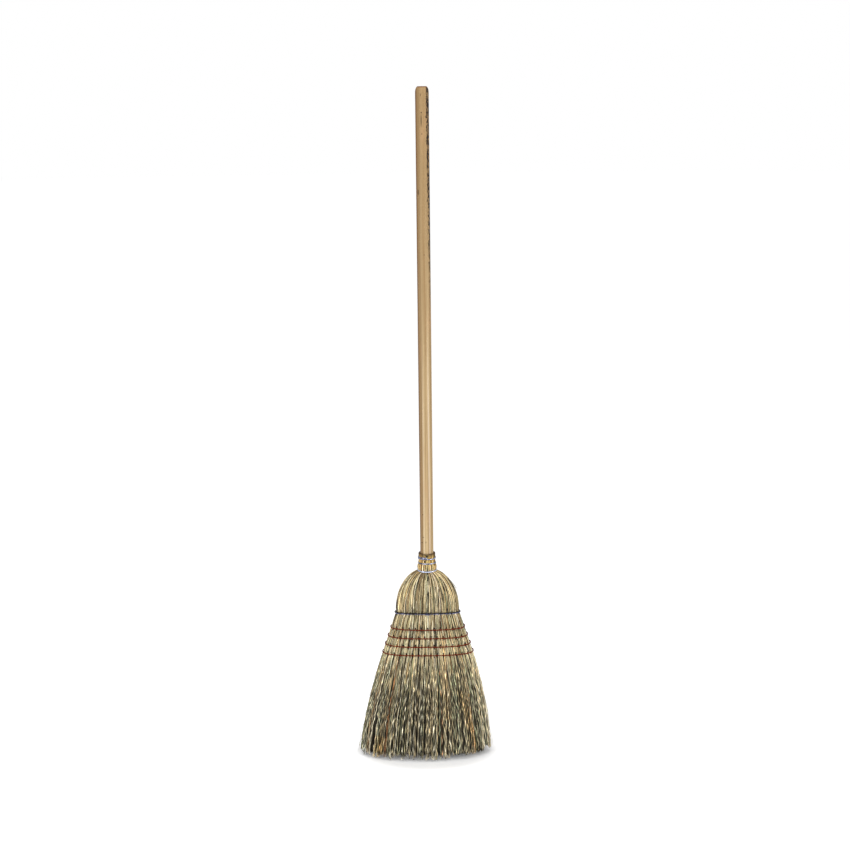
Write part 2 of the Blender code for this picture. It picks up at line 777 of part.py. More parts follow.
def shoulder_twist(tools):
    """The short twist that closes the shoulder wire in front."""
    thick, thin = SHOULDER_TWIST_DIAMETER / 2, SHOULDER_WIRE_DIAMETER / 2
    seat = resting_point(-math.pi / 2, SHOULDER_HEIGHT, thick)
    half = SHOULDER_TWIST_LENGTH / 2
    profile = [(0, half), (thin, half), (thick, half / 2), (thick, -half / 2), (thin, -half), (0, -half)]
    twist = turned_object("shoulder_twist", profile, tools)
    twist.modifiers["turn"].steps = twist.modifiers["turn"].render_steps = TWIST_SIDES
    twist.location = seat
    twist.rotation_euler.y = math.pi / 2
    return as_cutter(twist)


def front_shares():
    """The edges of the front bunches, as shares of the half width."""
    return [FRONT_SPREAD_SHARE * (2 * i / FRONT_BUNCHES - 1) for i in range(FRONT_BUNCHES + 1)]


def build_bundles(parts, holes):
    """Cover bunches, shoulders and inner stalks. Each back piece is its front one turned half round."""
    half_turn = math.pi
    shares = front_shares()
    made = []
    for i, (start, end) in enumerate(zip(shares, shares[1:]), 1):
        mesh = bundle_mesh(
            f"hurl_{i}", lambda z, a=start, b=end: sector_patch(a, b, z), STATIONS, STRAND_SEED + i
        )
        made.append((f"front_hurl_{i}", mesh, 0))
        made.append((f"back_hurl_{i}", mesh.copy(), half_turn))
    side = bundle_mesh("side_hurl", side_patch, STATIONS, STRAND_SEED)
    made += [("side_hurl_right", side, 0), ("side_hurl_left", side.copy(), half_turn)]
    below = [z for z in STATIONS if z <= SHOULDER_TOP_HEIGHT]
    shoulder = bundle_mesh("shoulder", shoulder_patch, below, 2 * STRAND_SEED)
    made += [("shoulder_bundle_right", shoulder, 0), ("shoulder_bundle_left", shoulder.copy(), half_turn)]
    below = [z for z in STATIONS if z <= INNER_TOP_HEIGHT]
    made.append(("inner_bundle", bundle_mesh("inner", inner_patch, below, 3 * STRAND_SEED), 0))
    for name, mesh, turn in made:
        bundle = place(name, mesh, parts, STRAW, turn)
        for hole in holes:
            boolean(bundle, hole, "DIFFERENCE")
        smooth(bundle, 50)
    return bundle


def build_broom():
    """Clears the scene and builds every piece of the broom."""
    for obj in list(bpy.data.objects):
        bpy.data.objects.remove(obj)
    parts = bpy.data.collections.new("warehouse_broom")
    tools = bpy.data.collections.new("cutters")
    bpy.context.scene.collection.children.link(parts)
    bpy.context.scene.collection.children.link(tools)
    handle = turned_object("handle", handle_profile(), parts, WOOD)
    tack_tool = tack_holes(tools)
    boolean(handle, tack_tool, "DIFFERENCE")
    inner = build_bundles(parts, (needle_holes(tools), tack_tool))
    bore = as_cutter(turned_object("handle_bore", bore_profile(), tools))
    boolean(inner, bore, "DIFFERENCE")
    build_stitching(parts, tools)
    build_wires(parts, tools)
    build_tacks(parts)


build_broom()
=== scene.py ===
"""Looks of an upright warehouse corn broom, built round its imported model.

Metres, +Z up, and the broad front of the head faces -Y. Stalks, fibres, wires, twine, tacks and
handle lie on the same outline of the head as the solids that they stand for.
"""

import logging
import math
from dataclasses import dataclass, field
from enum import Enum

import bpy
import numpy as np
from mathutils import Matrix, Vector


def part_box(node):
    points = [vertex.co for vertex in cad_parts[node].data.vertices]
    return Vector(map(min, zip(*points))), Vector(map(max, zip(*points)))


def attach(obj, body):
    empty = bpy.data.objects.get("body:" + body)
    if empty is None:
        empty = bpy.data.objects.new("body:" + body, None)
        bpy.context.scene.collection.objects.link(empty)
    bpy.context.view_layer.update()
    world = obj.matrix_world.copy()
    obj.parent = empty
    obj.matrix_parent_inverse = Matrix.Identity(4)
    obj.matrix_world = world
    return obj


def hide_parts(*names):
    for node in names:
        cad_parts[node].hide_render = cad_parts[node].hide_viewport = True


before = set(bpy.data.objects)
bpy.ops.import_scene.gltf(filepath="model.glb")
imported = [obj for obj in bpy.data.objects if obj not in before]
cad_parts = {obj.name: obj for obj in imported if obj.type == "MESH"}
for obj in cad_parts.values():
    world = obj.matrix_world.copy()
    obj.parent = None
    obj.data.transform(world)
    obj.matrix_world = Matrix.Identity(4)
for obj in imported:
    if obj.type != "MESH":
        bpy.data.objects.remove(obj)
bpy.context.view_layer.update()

LOG = logging.getLogger("broom")

Colour = tuple[float, float, float, float]
Triple = tuple[float, float, float]
Pair = tuple[float, float]
Array = np.ndarray
Chance = np.random.Generator
Socket = bpy.types.NodeSocket
Material = bpy.types.Material
Object = bpy.types.Object

TURN = 2 * math.pi
GOLDEN_SHARE = 0.618034
HANDLE_RADIUS = 0.0143
HANDLE_TOP = 1.450
FACE_SPREAD = 0.92
HALF_ROUND = np.array([-1.0, -1.0, 1.0])


def srgb(red: int, green: int, blue: int) -> Colour:
    """The linear colour of three display values from 0 to 255."""
    shares = (value / 255 for value in (red, green, blue))
    linear = [s / 12.92 if s <= 0.04045 else ((s + 0.055) / 1.055) ** 2.4 for s in shares]
    return (*linear, 1.0)


def ease(value: Array) -> Array:
    """A soft rise from 0 to 1 while the value goes from 0 to 1."""
    held = np.clip(value, 0, 1)
    return held * held * (3 - 2 * held)


def bell(value: Array) -> Array:
    """A bell curve: 1 at 0, and about a third at 1 or -1."""
    return np.exp(-(value**2))


def oval(angle: Array, width: Array, depth: Array, exponent: Array) -> tuple[Array, Array]:
    """Points of an oval with fuller corners at a larger exponent.

    Args:
        angle: Angles from +X.
        width: Half widths.
        depth: Half depths.
        exponent: 2 for a plain ellipse.

    Returns:
        Their x and their y.
    """
    cosine, sine = np.cos(angle), np.sin(angle)
    x = np.sign(cosine) * np.abs(cosine) ** (2 / exponent) * width
    y = np.sign(sine) * np.abs(sine) ** (2 / exponent) * depth
    return x, y


def deselect() -> None:
    """Deselects everything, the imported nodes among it."""
    bpy.ops.object.select_all(action="DESELECT")


def active() -> Object:
    """The active object, such as a primitive that was just added."""
    return bpy.context.view_layer.objects.active


class Recipe:
    """A node material, put together one node at a time."""

    def __init__(self, name: str) -> None:
        """Starts a material with its Principled shader.

        Args:
            name: The material's name.
        """
        self.material = bpy.data.materials.new(name)
        self.material.use_nodes = True
        self.tree = self.material.node_tree
        self.shader = self.tree.nodes["Principled BSDF"]
        self.output = self.tree.nodes["Material Output"]

    def node(self, kind: str, inputs: dict | None = None, **settings) -> bpy.types.Node:
        """Adds a node.

        Args:
            kind: The node's type.
            inputs: Values or sockets for its inputs, by name or number.
            settings: Its own properties.

        Returns:
            The new node.
        """
        made = self.tree.nodes.new(kind)
        for name, value in settings.items():
            setattr(made, name, value)
        for name, value in (inputs or {}).items():
            self.set(made.inputs[name], value)
        return made

    def set(self, socket: Socket, value: object) -> None:
        """Links or sets one input."""
        if isinstance(value, Socket):
            self.tree.links.new(value, socket)
        else:
            socket.default_value = value

    def place(self, scale: Triple) -> Socket:
        """Object coordinates, scaled along each axis."""
        coordinates = self.node("ShaderNodeTexCoord").outputs["Object"]
        mapping = self.node("ShaderNodeMapping", {"Vector": coordinates, "Scale": scale})
        return mapping.outputs["Vector"]

    def noise(self, scale: Triple, detail: float = 4, rough: float = 0.6) -> Socket:
        """Fractal noise with its own grain size along each axis.

        Args:
            scale: Grains per metre along X, Y and Z.
            detail: Octaves of finer grain.
            rough: Strength of the finer grain.

        Returns:
            The noise value's socket.
        """
        inputs = {"Vector": self.place(scale), "Scale": 1.0, "Detail": detail, "Roughness": rough}
        return self.node("ShaderNodeTexNoise", inputs).outputs["Fac"]

    def span(self, value: Socket, low: float, high: float, start: float = 0, end: float = 1) -> Socket:
        """A value's range from low to high, turned smoothly into start to end."""
        inputs = {"Value": value, 1: low, 2: high, 3: start, 4: end}
        made = self.node("ShaderNodeMapRange", inputs, interpolation_type="SMOOTHSTEP")
        return made.outputs["Result"]

    def math(self, operation: str, first: Socket, second: object = 0.0) -> Socket:
        """A Math node's result."""
        return self.node("ShaderNodeMath", {0: first, 1: second}, operation=operation).outputs[0]

    def mix(self, share: object, first: object, second: object, way: str = "MIX") -> Socket:
        """Two colours mixed.

        Args:
            share: How much of the second shows.
            first: The first colour or socket.
            second: The second colour or socket.
            way: The blend type.

        Returns:
            The mixed colour's socket.
        """
        made = self.node("ShaderNodeMix", data_type="RGBA", blend_type=way)
        for number, value in ((0, share), (6, first), (7, second)):
            self.set(made.inputs[number], value)
        return made.outputs[2]

    def relief(self, height: Socket, strength: float, distance: float) -> None:
        """Raises the surface by a height, as bump."""
        inputs = {"Height": height, "Strength": strength, "Distance": distance}
        self.set(self.shader.inputs["Normal"], self.node("ShaderNodeBump", inputs).outputs["Normal"])

    def finish(self, **inputs: object) -> Material:
        """Sets the shader's inputs, with _ for a space in a name.

        Args:
            inputs: Values or sockets by input name.

        Returns:
            The finished material.
        """
        for name, value in inputs.items():
            self.set(self.shader.inputs[name.replace("_", " ")], value)
        return self.material


@dataclass(frozen=True)
class StrawFinish:
    """Broomcorn: every stalk has its own tone, with fine ridges along it."""

    name: str = "broomcorn_straw"
    grain: Triple = (900.0, 900.0, 60.0)
    mottle: Triple = (160.0, 160.0, 45.0)
    roughness: float = 0.58
    darkest: float = 0.72
    brightest: float = 1.22
    ridge_height: float = 0.00022
    flecks: Triple = (420.0, 420.0, 130.0)
    fleck: Colour = srgb(92, 62, 34)
    fleck_strength: float = 0.45

    def material(self) -> Material:
        """Straw whose tone comes from the mesh's straw_tone attribute.

        Returns:
            The material.
        """
        recipe = Recipe(self.name)
        tone = recipe.node("ShaderNodeAttribute", attribute_name="straw_tone").outputs["Color"]
        mottle = recipe.noise(self.mottle, 5)
        grain = recipe.noise(self.grain, 3)
        light = recipe.span(mottle, 0.3, 0.7, self.darkest, self.brightest)
        shade = recipe.node("ShaderNodeCombineColor", {0: light, 1: light, 2: light}).outputs[0]
        colour = recipe.mix(1.0, tone, shade, "MULTIPLY")
        fleck = recipe.span(recipe.noise(self.flecks, 2), 0.66, 0.78)
        colour = recipe.mix(recipe.math("MULTIPLY", fleck, self.fleck_strength), colour, self.fleck)
        recipe.relief(grain, 0.55, self.ridge_height)
        roughness = recipe.span(grain, 0.3, 0.7, self.roughness - 0.12, self.roughness + 0.2)
        return recipe.finish(Base_Color=colour, Roughness=roughness, Specular_IOR_Level=0.35)


@dataclass(frozen=True)
class WoodMark:
    """A knot, pit or dark line on the handle's front: its place and half sizes."""

    x: float
    z: float
    half_width: float
    half_height: float
    strength: float = 0.7


@dataclass(frozen=True)
class WoodFinish:
    """Varnished softwood: straight grain, a strip of bark at the edge and a few marks, with painted
    highlights on the lower handle and painted shade along one edge.
    """

    name: str = "handle_wood"
    radius: float = HANDLE_RADIUS
    top: float = HANDLE_TOP
    pale: Colour = srgb(216, 191, 146)
    tan: Colour = srgb(150, 120, 80)
    streak: Colour = srgb(156, 118, 72)
    painted_highlight_colour: Colour = srgb(240, 224, 204)
    bark: Colour = srgb(34, 19, 8)
    cloud: Colour = srgb(198, 152, 112)
    end_grain_and_edge_shade: Colour = srgb(112, 68, 26)
    darkening: Pair = (0.55, 1.42)
    painted_highlight_heights: Pair = (0.62, 1.02)
    wear: Pair = (0.70, 1.15)
    bark_fading: Pair = (0.84, 1.24)
    bark_widening: float = 0.95
    bark_fray: float = 0.0017
    marks: tuple[WoodMark, ...] = (
        WoodMark(-0.0022, 1.380, 0.0010, 0.0135, 0.80),
        WoodMark(-0.0018, 1.396, 0.0013, 0.0016, 0.9),
        WoodMark(-0.0014, 1.352, 0.0014, 0.0016, 0.5),
        WoodMark(-0.0030, 1.432, 0.0012, 0.0030, 0.45),
        WoodMark(0.0012, 1.100, 0.0016, 0.0010, 0.6),
        WoodMark(-0.0100, 1.231, 0.0016, 0.0060, 0.6),
        WoodMark(-0.0080, 0.5390, 0.0012, 0.0012, 0.8),
        WoodMark(-0.0075, 0.4890, 0.0018, 0.0010, 0.8),
        WoodMark(-0.0102, 0.4770, 0.0012, 0.0012, 0.8),
        WoodMark(-0.0018, 0.4780, 0.0009, 0.0022, 0.6),
    )

    def mark(self, recipe: Recipe, axes: Socket, mark: WoodMark, grain: Socket) -> Socket:
        """How much of one mark shows at a point.

        Args:
            recipe: The material in the making.
            axes: The Separate XYZ node's three outputs, as a list.
            mark: The mark.
            grain: Noise that frays the mark's edge.

        Returns:
            A socket from 0 to the mark's strength.
        """
        across = recipe.math("DIVIDE", recipe.math("SUBTRACT", axes[0], mark.x), mark.half_width)
        along = recipe.math("DIVIDE", recipe.math("SUBTRACT", axes[2], mark.z), mark.half_height)
        squares = (recipe.math("MULTIPLY", way, way) for way in (across, along))
        far = recipe.math("ADD", *squares)
        far = recipe.math("ADD", far, grain)
        near = recipe.span(far, 0.6, 1.9, mark.strength, 0.0)
        front = recipe.span(axes[1], -0.004, 0.002, 1.0, 0.0)
        return recipe.math("MULTIPLY", near, front)

    def material(self) -> Material:
        """Wood in the handle's own coordinates.

        Returns:
            The material.
        """
        recipe = Recipe(self.name)
        where = recipe.node("ShaderNodeTexCoord").outputs["Object"]
        axes = recipe.node("ShaderNodeSeparateXYZ", {0: where}).outputs
        bands = recipe.noise((150.0, 150.0, 1.6), 6, 0.62)
        fine = recipe.noise((900.0, 900.0, 14.0), 4, 0.7)
        cloud = recipe.noise((30.0, 30.0, 9.0), 3)
        colour = recipe.mix(recipe.span(bands, 0.32, 0.68), self.pale, self.tan)
        colour = recipe.mix(recipe.span(fine, 0.52, 0.78, 0.0, 0.55), colour, self.streak)
        height = recipe.span(axes[2], *self.darkening, 0.0, 0.86)
        colour = recipe.mix(height, colour, self.tan)
        colour = recipe.mix(recipe.span(cloud, 0.5, 0.8, 0.0, 0.30), colour, self.cloud)
        for mark in self.marks:
            shown = self.mark(recipe, axes, mark, recipe.math("MULTIPLY", fine, 0.7))
            colour = recipe.mix(shown, colour, self.bark)
        # Painted highlights: two cream stripes on the lower handle, a strong one right of the middle and a
        # weak one left of it, fading out upwards.
        lower = recipe.span(axes[2], *self.painted_highlight_heights, 1.0, 0.0)
        for place, reach, strength in ((0.44, 0.15, 0.36), (-0.40, 0.11, 0.16)):
            off = recipe.math("ABSOLUTE", recipe.math("SUBTRACT", axes[0], self.radius * place))
            band = recipe.span(off, self.radius * reach * 0.3, self.radius * reach, strength, 0.0)
            colour = recipe.mix(recipe.math("MULTIPLY", band, lower), colour, self.painted_highlight_colour)
        # Painted shade: the left edge is darkened with the end-grain brown. The brown at the top end below
        # is the wood's own end grain.
        edge = recipe.span(axes[0], -self.radius * 0.96, -self.radius * 0.70, 0.80, 0.0)
        colour = recipe.mix(edge, colour, self.end_grain_and_edge_shade)
        colour = recipe.mix(self.bark_strip(recipe, axes), colour, self.bark)
        end = recipe.span(axes[2], self.top - 0.0034, self.top - 0.0010, 0.0, 0.9)
        colour = recipe.mix(end, colour, self.end_grain_and_edge_shade)
        recipe.relief(fine, 0.35, 0.00018)
        worn = recipe.span(axes[2], *self.wear, 0.34, 0.66)
        roughness = recipe.math("ADD", worn, recipe.span(fine, 0.3, 0.7, -0.05, 0.09))
        return recipe.finish(Base_Color=colour, Roughness=roughness, Specular_IOR_Level=0.27)

    def bark_strip(self, recipe: Recipe, axes: Socket) -> Socket:
        """Speckled bark left on one side of the upper handle, wider towards the top.

        Args:
            recipe: The material in the making.
            axes: The Separate XYZ node's three outputs, as a list.

        Returns:
            How much bark shows, from 0 to 1.
        """
        grain = recipe.noise((240.0, 240.0, 110.0), 4)
        rough = recipe.span(grain, 0.3, 0.7, -self.bark_fray, self.bark_fray)
        from_top = recipe.span(axes[2], self.bark_widening, self.top, self.radius * 0.24, 0.0)
        reach = recipe.math("SUBTRACT", recipe.math("ADD", axes[0], rough), from_top)
        side = recipe.span(reach, self.radius * 0.50, self.radius * 0.62)
        speckle = recipe.span(recipe.noise((280.0, 280.0, 125.0), 3), 0.43, 0.52, 0.30, 1.0)
        faded = recipe.span(axes[2], *self.bark_fading)
        return recipe.math("MULTIPLY", recipe.math("MULTIPLY", side, faded), speckle)


@dataclass(frozen=True)
class WireFinish:
    """Steel wire whose colour goes from a dull to a bright one by noise and by the mesh's wear attribute,
    which holds wear, and also a painted highlight on the neck wire's lowest turn and a painted reflection
    on the shoulder wire.
    """

    name: str
    bright: Colour
    dull: Colour
    metal: float
    roughness: float

    def material(self) -> Material:
        """Metal whose brightness comes from the mesh's wear attribute, with its painted light, and from
        noise.

        Returns:
            The material.
        """
        recipe = Recipe(self.name)
        wear = recipe.node("ShaderNodeAttribute", attribute_name="wear").outputs["Fac"]
        patches = recipe.noise((190.0, 190.0, 420.0), 4)
        share = recipe.math("ADD", wear, recipe.span(patches, 0.36, 0.64, -0.35, 0.35))
        colour = recipe.mix(recipe.span(share, 0.2, 0.8), self.dull, self.bright)
        scratches = recipe.noise((2600.0, 2600.0, 2600.0), 2)
        recipe.relief(scratches, 0.2, 0.00008)
        low, high = self.roughness - 0.08, self.roughness + 0.15
        roughness = recipe.span(patches, 0.3, 0.7, low, high)
        return recipe.finish(Base_Color=colour, Roughness=roughness, Metallic=self.metal)


@dataclass(frozen=True)
class TwineFinish:
    """Dyed twine: rough short hairs and uneven dye."""

    name: str = "red_brown_twine"
    dye: Colour = srgb(110, 39, 15)
    worn: Colour = srgb(128, 58, 28)
    dark: Colour = srgb(66, 23, 9)

    def material(self) -> Material:
        """Red-brown twine."""
        recipe = Recipe(self.name)
        dye = recipe.noise((900.0, 900.0, 900.0), 4, 0.7)
        hairs = recipe.noise((4200.0, 4200.0, 4200.0), 3)
        colour = recipe.mix(recipe.span(dye, 0.28, 0.5), self.dark, self.dye)
        colour = recipe.mix(recipe.span(dye, 0.55, 0.8, 0.0, 0.8), colour, self.worn)
        recipe.relief(hairs, 0.7, 0.0002)
        roughness = recipe.span(hairs, 0.3, 0.7, 0.7, 0.95)
        return recipe.finish(Base_Color=colour, Roughness=roughness, Specular_IOR_Level=0.2)


@dataclass(frozen=True)
class PlainFinish:
    """A dull surface in one family of colour, such as blued steel, or straw painted dark as shade."""

    name: str
    light: Colour
    dark: Colour
    grain: Triple
    roughness: float
    metal: float = 0.0
    relief: float = 0.0002

    def material(self) -> Material:
        """Two colours mixed by noise, with bump of the same grain."""
        recipe = Recipe(self.name)
        grain = recipe.noise(self.grain, 4)
        colour = recipe.mix(recipe.span(grain, 0.3, 0.7), self.dark, self.light)
        recipe.relief(grain, 0.6, self.relief)
        low, high = self.roughness - 0.08, self.roughness + 0.12
        roughness = recipe.span(grain, 0.3, 0.7, low, high)
        return recipe.finish(Base_Color=colour, Roughness=roughness, Metallic=self.metal)


class Finishes:
    """Every material of the broom, made once."""

    def __init__(self) -> None:
        """Builds the materials."""
        self.straw = StrawFinish().material()
        self.wood = WoodFinish().material()
        self.galvanised = WireFinish(
            "galvanised_wire", srgb(198, 205, 230), srgb(82, 88, 116), 1.0, 0.26
        ).material()
        # The shoulder wire's colours are a painted reflection: near black where it faces up, light lavender
        # below.
        self.shoulder_wire_reflection = WireFinish(
            "shoulder_wire_steel", srgb(172, 176, 226), srgb(8, 9, 16), 0.6, 0.36
        ).material()
        self.twine = TwineFinish().material()
        self.tack = PlainFinish(
            "blued_tack_steel", srgb(30, 29, 32), srgb(9, 9, 11), (1500.0, 1500.0, 1500.0), 0.55, 0.6
        ).material()
        # Painted shade: small dark pieces at the needle holes.
        self.hole = PlainFinish(
            "needle_hole_shade", srgb(30, 24, 13), srgb(9, 7, 4), (900.0, 900.0, 300.0), 0.95
        ).material()
        # Painted shade: the hearts inside the head are painted dark.
        self.heart = PlainFinish(
            "straw_heart_shade", srgb(74, 62, 34), srgb(18, 15, 8), (700.0, 700.0, 40.0), 0.9, relief=0.0006
        ).material()


@dataclass(frozen=True)
class HeadShape:
    """The head's outline by height: a superellipse of half width, half depth and exponent."""

    sweep_length: float = 0.2319
    row_pitch: float = 0.0186
    rows: int = 4
    rows_to_shoulder: float = 0.0325
    dome_height: float = 0.0940
    lower_to_middle_wire: float = 0.0168
    middle_to_upper_wire: float = 0.0098
    upper_wire_to_rim: float = 0.0118
    neck_radius: float = 0.0187
    rim_radius: float = 0.0175
    collar_bulge: float = 0.0022
    shoulder_width: float = 0.1370
    shoulder_depth: float = 0.0410
    dome_fullness: float = 0.0065
    last_row_width: float = 0.1950
    last_row_depth: float = 0.0800
    sweep_width: float = 0.2870
    sweep_depth: float = 0.1340
    swelling: float = 0.0011
    collar_swelling: float = 0.0003
    swelling_reach: float = 0.0045
    fit_gap: float = 0.0003
    lean: float = -0.0076
    lean_curve: float = 1.2
    sweep_curve: float = 1.6
    sewn_curve: float = 0.35
    dome_curve: float = 2.4
    dome_root: float = 1.4
    flat_exponent: float = 2.5
    collar_thickness: float = 0.0025
    cover_share: float = 0.30
    stitch_pitch: float = 0.0135
    stitch_margin: float = 0.0070

    @property
    def row_heights(self) -> list[float]:
        """Heights of the twine rows, from the top."""
        return [self.sweep_length + self.row_pitch * row for row in reversed(range(self.rows))]

    @property
    def shoulder(self) -> float:
        """Height of the shoulder wire."""
        return self.row_heights[0] + self.rows_to_shoulder

    @property
    def lower_wire(self) -> float:
        """Height of the lowest turn of the neck wire."""
        return self.shoulder + self.dome_height

    @property
    def middle_wire(self) -> float:
        """Height of the middle turn of the neck wire."""
        return self.lower_wire + self.lower_to_middle_wire

    @property
    def upper_wire(self) -> float:
        """Height of the highest turn of the neck wire."""
        return self.middle_wire + self.middle_to_upper_wire

    @property
    def rim(self) -> float:
        """Height of the collar's cut rim."""
        return self.upper_wire + self.upper_wire_to_rim

    def swell(self, z: Array) -> Array:
        """How far the straw swells out between the wires and rows that tie it."""
        tied = [*self.row_heights, self.shoulder, self.lower_wire, self.middle_wire, self.upper_wire]
        near = np.min([np.abs(z - height) for height in tied], axis=0)
        amount = np.where(z > self.lower_wire, self.collar_swelling, self.swelling)
        return amount * (1 - bell(near / self.swelling_reach))

    def fall(self, z: Array) -> Array:
        """How far down the sweep a height is, from 0 at the last row to 1 on the floor."""
        return np.clip((self.sweep_length - z) / self.sweep_length, 0, 1)

    def down_dome(self, z: Array) -> Array:
        """How far down the dome a height is, from 0 at the lowest neck wire to 1 at the shoulder."""
        return np.clip((self.lower_wire - z) / self.dome_height, 0, 1)

    def size(self, z: Array) -> tuple[Array, Array, Array]:
        """The bound outline, before the straw swells.

        Args:
            z: Heights.

        Returns:
            Half widths, half depths and exponents.
        """
        fall, dome = self.fall(z), self.down_dome(z)
        flare = 1 - (1 - fall) ** self.sweep_curve
        sweep_width = self.last_row_width + (self.sweep_width - self.last_row_width) * flare
        sweep_depth = self.last_row_depth + (self.sweep_depth - self.last_row_depth) * fall
        sewn = np.clip((self.shoulder - z) / (self.shoulder - self.sweep_length), 0, 1)
        sewn_width = self.shoulder_width + (self.last_row_width - self.shoulder_width) * sewn
        deepening = sewn**self.sewn_curve
        sewn_depth = self.shoulder_depth + (self.last_row_depth - self.shoulder_depth) * deepening
        rise = (1 - (1 - dome) ** self.dome_curve) ** (1 / self.dome_root)
        dome_width = self.neck_radius + (self.shoulder_width / 2 - self.neck_radius) * rise
        dome_depth = self.neck_radius + (self.shoulder_depth / 2 - self.neck_radius) * dome
        dome_depth = dome_depth + self.dome_fullness * 4 * dome * (1 - dome)
        collar = np.clip((z - self.lower_wire) / self.lower_to_middle_wire, 0, 1)
        radius = self.neck_radius + (self.rim_radius - self.neck_radius) * collar
        radius = radius + self.collar_bulge * 4 * collar * (1 - collar)
        places = [z <= self.sweep_length, z <= self.shoulder, z <= self.lower_wire]
        width = np.select(places, [sweep_width / 2, sewn_width / 2, dome_width], radius)
        depth = np.select(places, [sweep_depth / 2, sewn_depth / 2, dome_depth], radius)
        flat, more = self.flat_exponent, self.flat_exponent - 2
        exponents = [flat - more * fall, np.full_like(dome, flat), 2 + more * dome]
        exponent = np.select(places, exponents, 2.0)
        return width, depth, exponent

    def thickness(self, z: Array) -> Array:
        """Thickness of the cover stalks."""
        full = self.cover_share * self.size(z)[1]
        return self.collar_thickness + (full - self.collar_thickness) * self.down_dome(z)

    def outline(self, angle: Array, z: Array, inset: Array) -> Array:
        """Points in the straw, a little inside its swollen outline.

        Args:
            angle: Angles round the head, from +X.
            z: Heights.
            inset: Depths under the surface.

        Returns:
            Points, with one more dimension than the angles.
        """
        width, depth, exponent = self.size(z)
        out = self.swell(z) - inset
        x, y = oval(angle, width + out, depth + out, exponent)
        return np.stack(np.broadcast_arrays(x, y, z), axis=-1)

    def aside(self, z: Array) -> Array:
        """How far the loose sweep leans to one side at each height."""
        return self.lean * self.fall(z) ** self.lean_curve

    def stitch_places(self, row: float) -> list[float]:
        """The x of each stitch in a row of twine."""
        room = 2 * (float(self.size(np.array(row))[0]) - self.stitch_margin)
        count = int(room / self.stitch_pitch) + 1
        return [self.stitch_pitch * (i - (count - 1) / 2) for i in range(count)]

    def ring(self, z: float, reach: float, count: int) -> Array:
        """A closed line round the head at one height, with points at an even distance.

        Args:
            z: Its height.
            reach: Its distance outside the tied straw.
            count: How many points it has.

        Returns:
            The points.
        """
        angle = np.linspace(0, TURN, 2881)
        width, depth, exponent = self.size(np.full_like(angle, z))
        x, y = oval(angle, width + reach, depth + reach, exponent)
        run = np.concatenate([[0], np.cumsum(np.hypot(np.diff(x), np.diff(y)))])
        even = np.linspace(0, run[-1], count, endpoint=False)
        return np.stack([np.interp(even, run, x), np.interp(even, run, y), np.full(count, z)], axis=-1)


class Face(Enum):
    """Which side of the head a bunch covers."""

    FRONT = 1
    RIGHT = 2
    BACK = -1
    LEFT = -2


@dataclass(frozen=True)
class Course:
    """The part of the outline that one bunch covers, whose lines run down the head."""

    shape: HeadShape
    face: Face
    start: float = -1.0
    end: float = 1.0
    spread: float = FACE_SPREAD

    def angle(self, share: Array, z: Array) -> Array:
        """The outline angle of a line of the course, from share 0 to 1."""
        exponent = self.shape.size(z)[2]
        if self.face in (Face.FRONT, Face.BACK):
            edge = 0.999
            across = np.clip(self.start + (self.end - self.start) * share, -edge, edge)
            return -np.arccos(np.sign(across) * np.abs(across) ** (exponent / 2))
        return np.arccos(self.spread ** (exponent / 2)) * (2 * share - 1)

    def place(self, share: Array, z: Array, inset: Array) -> Array:
        """Points of the course, turned half round for the back and the left.

        Args:
            share: Lines of the course.
            z: Heights.
            inset: Depths under the surface.

        Returns:
            Points, with one more dimension than the shares.
        """
        points = self.shape.outline(self.angle(share, z), z, inset)
        if self.face.value < 0:
            points = points * HALF_ROUND
        points[..., 0] += self.shape.aside(points[..., 2])
        return points

    def share_at(self, x: float, z: float) -> float:
        """The line of a front or back course that passes a place."""
        height = np.array(z)
        width = float(self.shape.size(height)[0] + self.shape.swell(height))
        across = (x - float(self.shape.aside(height))) / width * math.copysign(1, self.face.value)
        return (across - self.start) / (self.end - self.start)

    def width(self, z: Array) -> Array:
        """The course's width along the surface at each height."""
        share = np.linspace(0, 1, 17)
        points = self.place(share[:, None], np.asarray(z)[None, :], np.zeros(1))
        return np.linalg.norm(np.diff(points, axis=0), axis=-1).sum(axis=0)


class Tone(Enum):
    """The colours of broomcorn."""

    STRAW = srgb(188, 170, 130)
    PALE = srgb(216, 205, 174)
    GREEN = srgb(160, 162, 126)
    OLIVE = srgb(136, 128, 94)
    ORANGE = srgb(184, 130, 82)
    GOLD = srgb(188, 152, 102)
    BROWN = srgb(118, 78, 50)
    GREY = srgb(152, 151, 124)
    DARK = srgb(62, 54, 36)


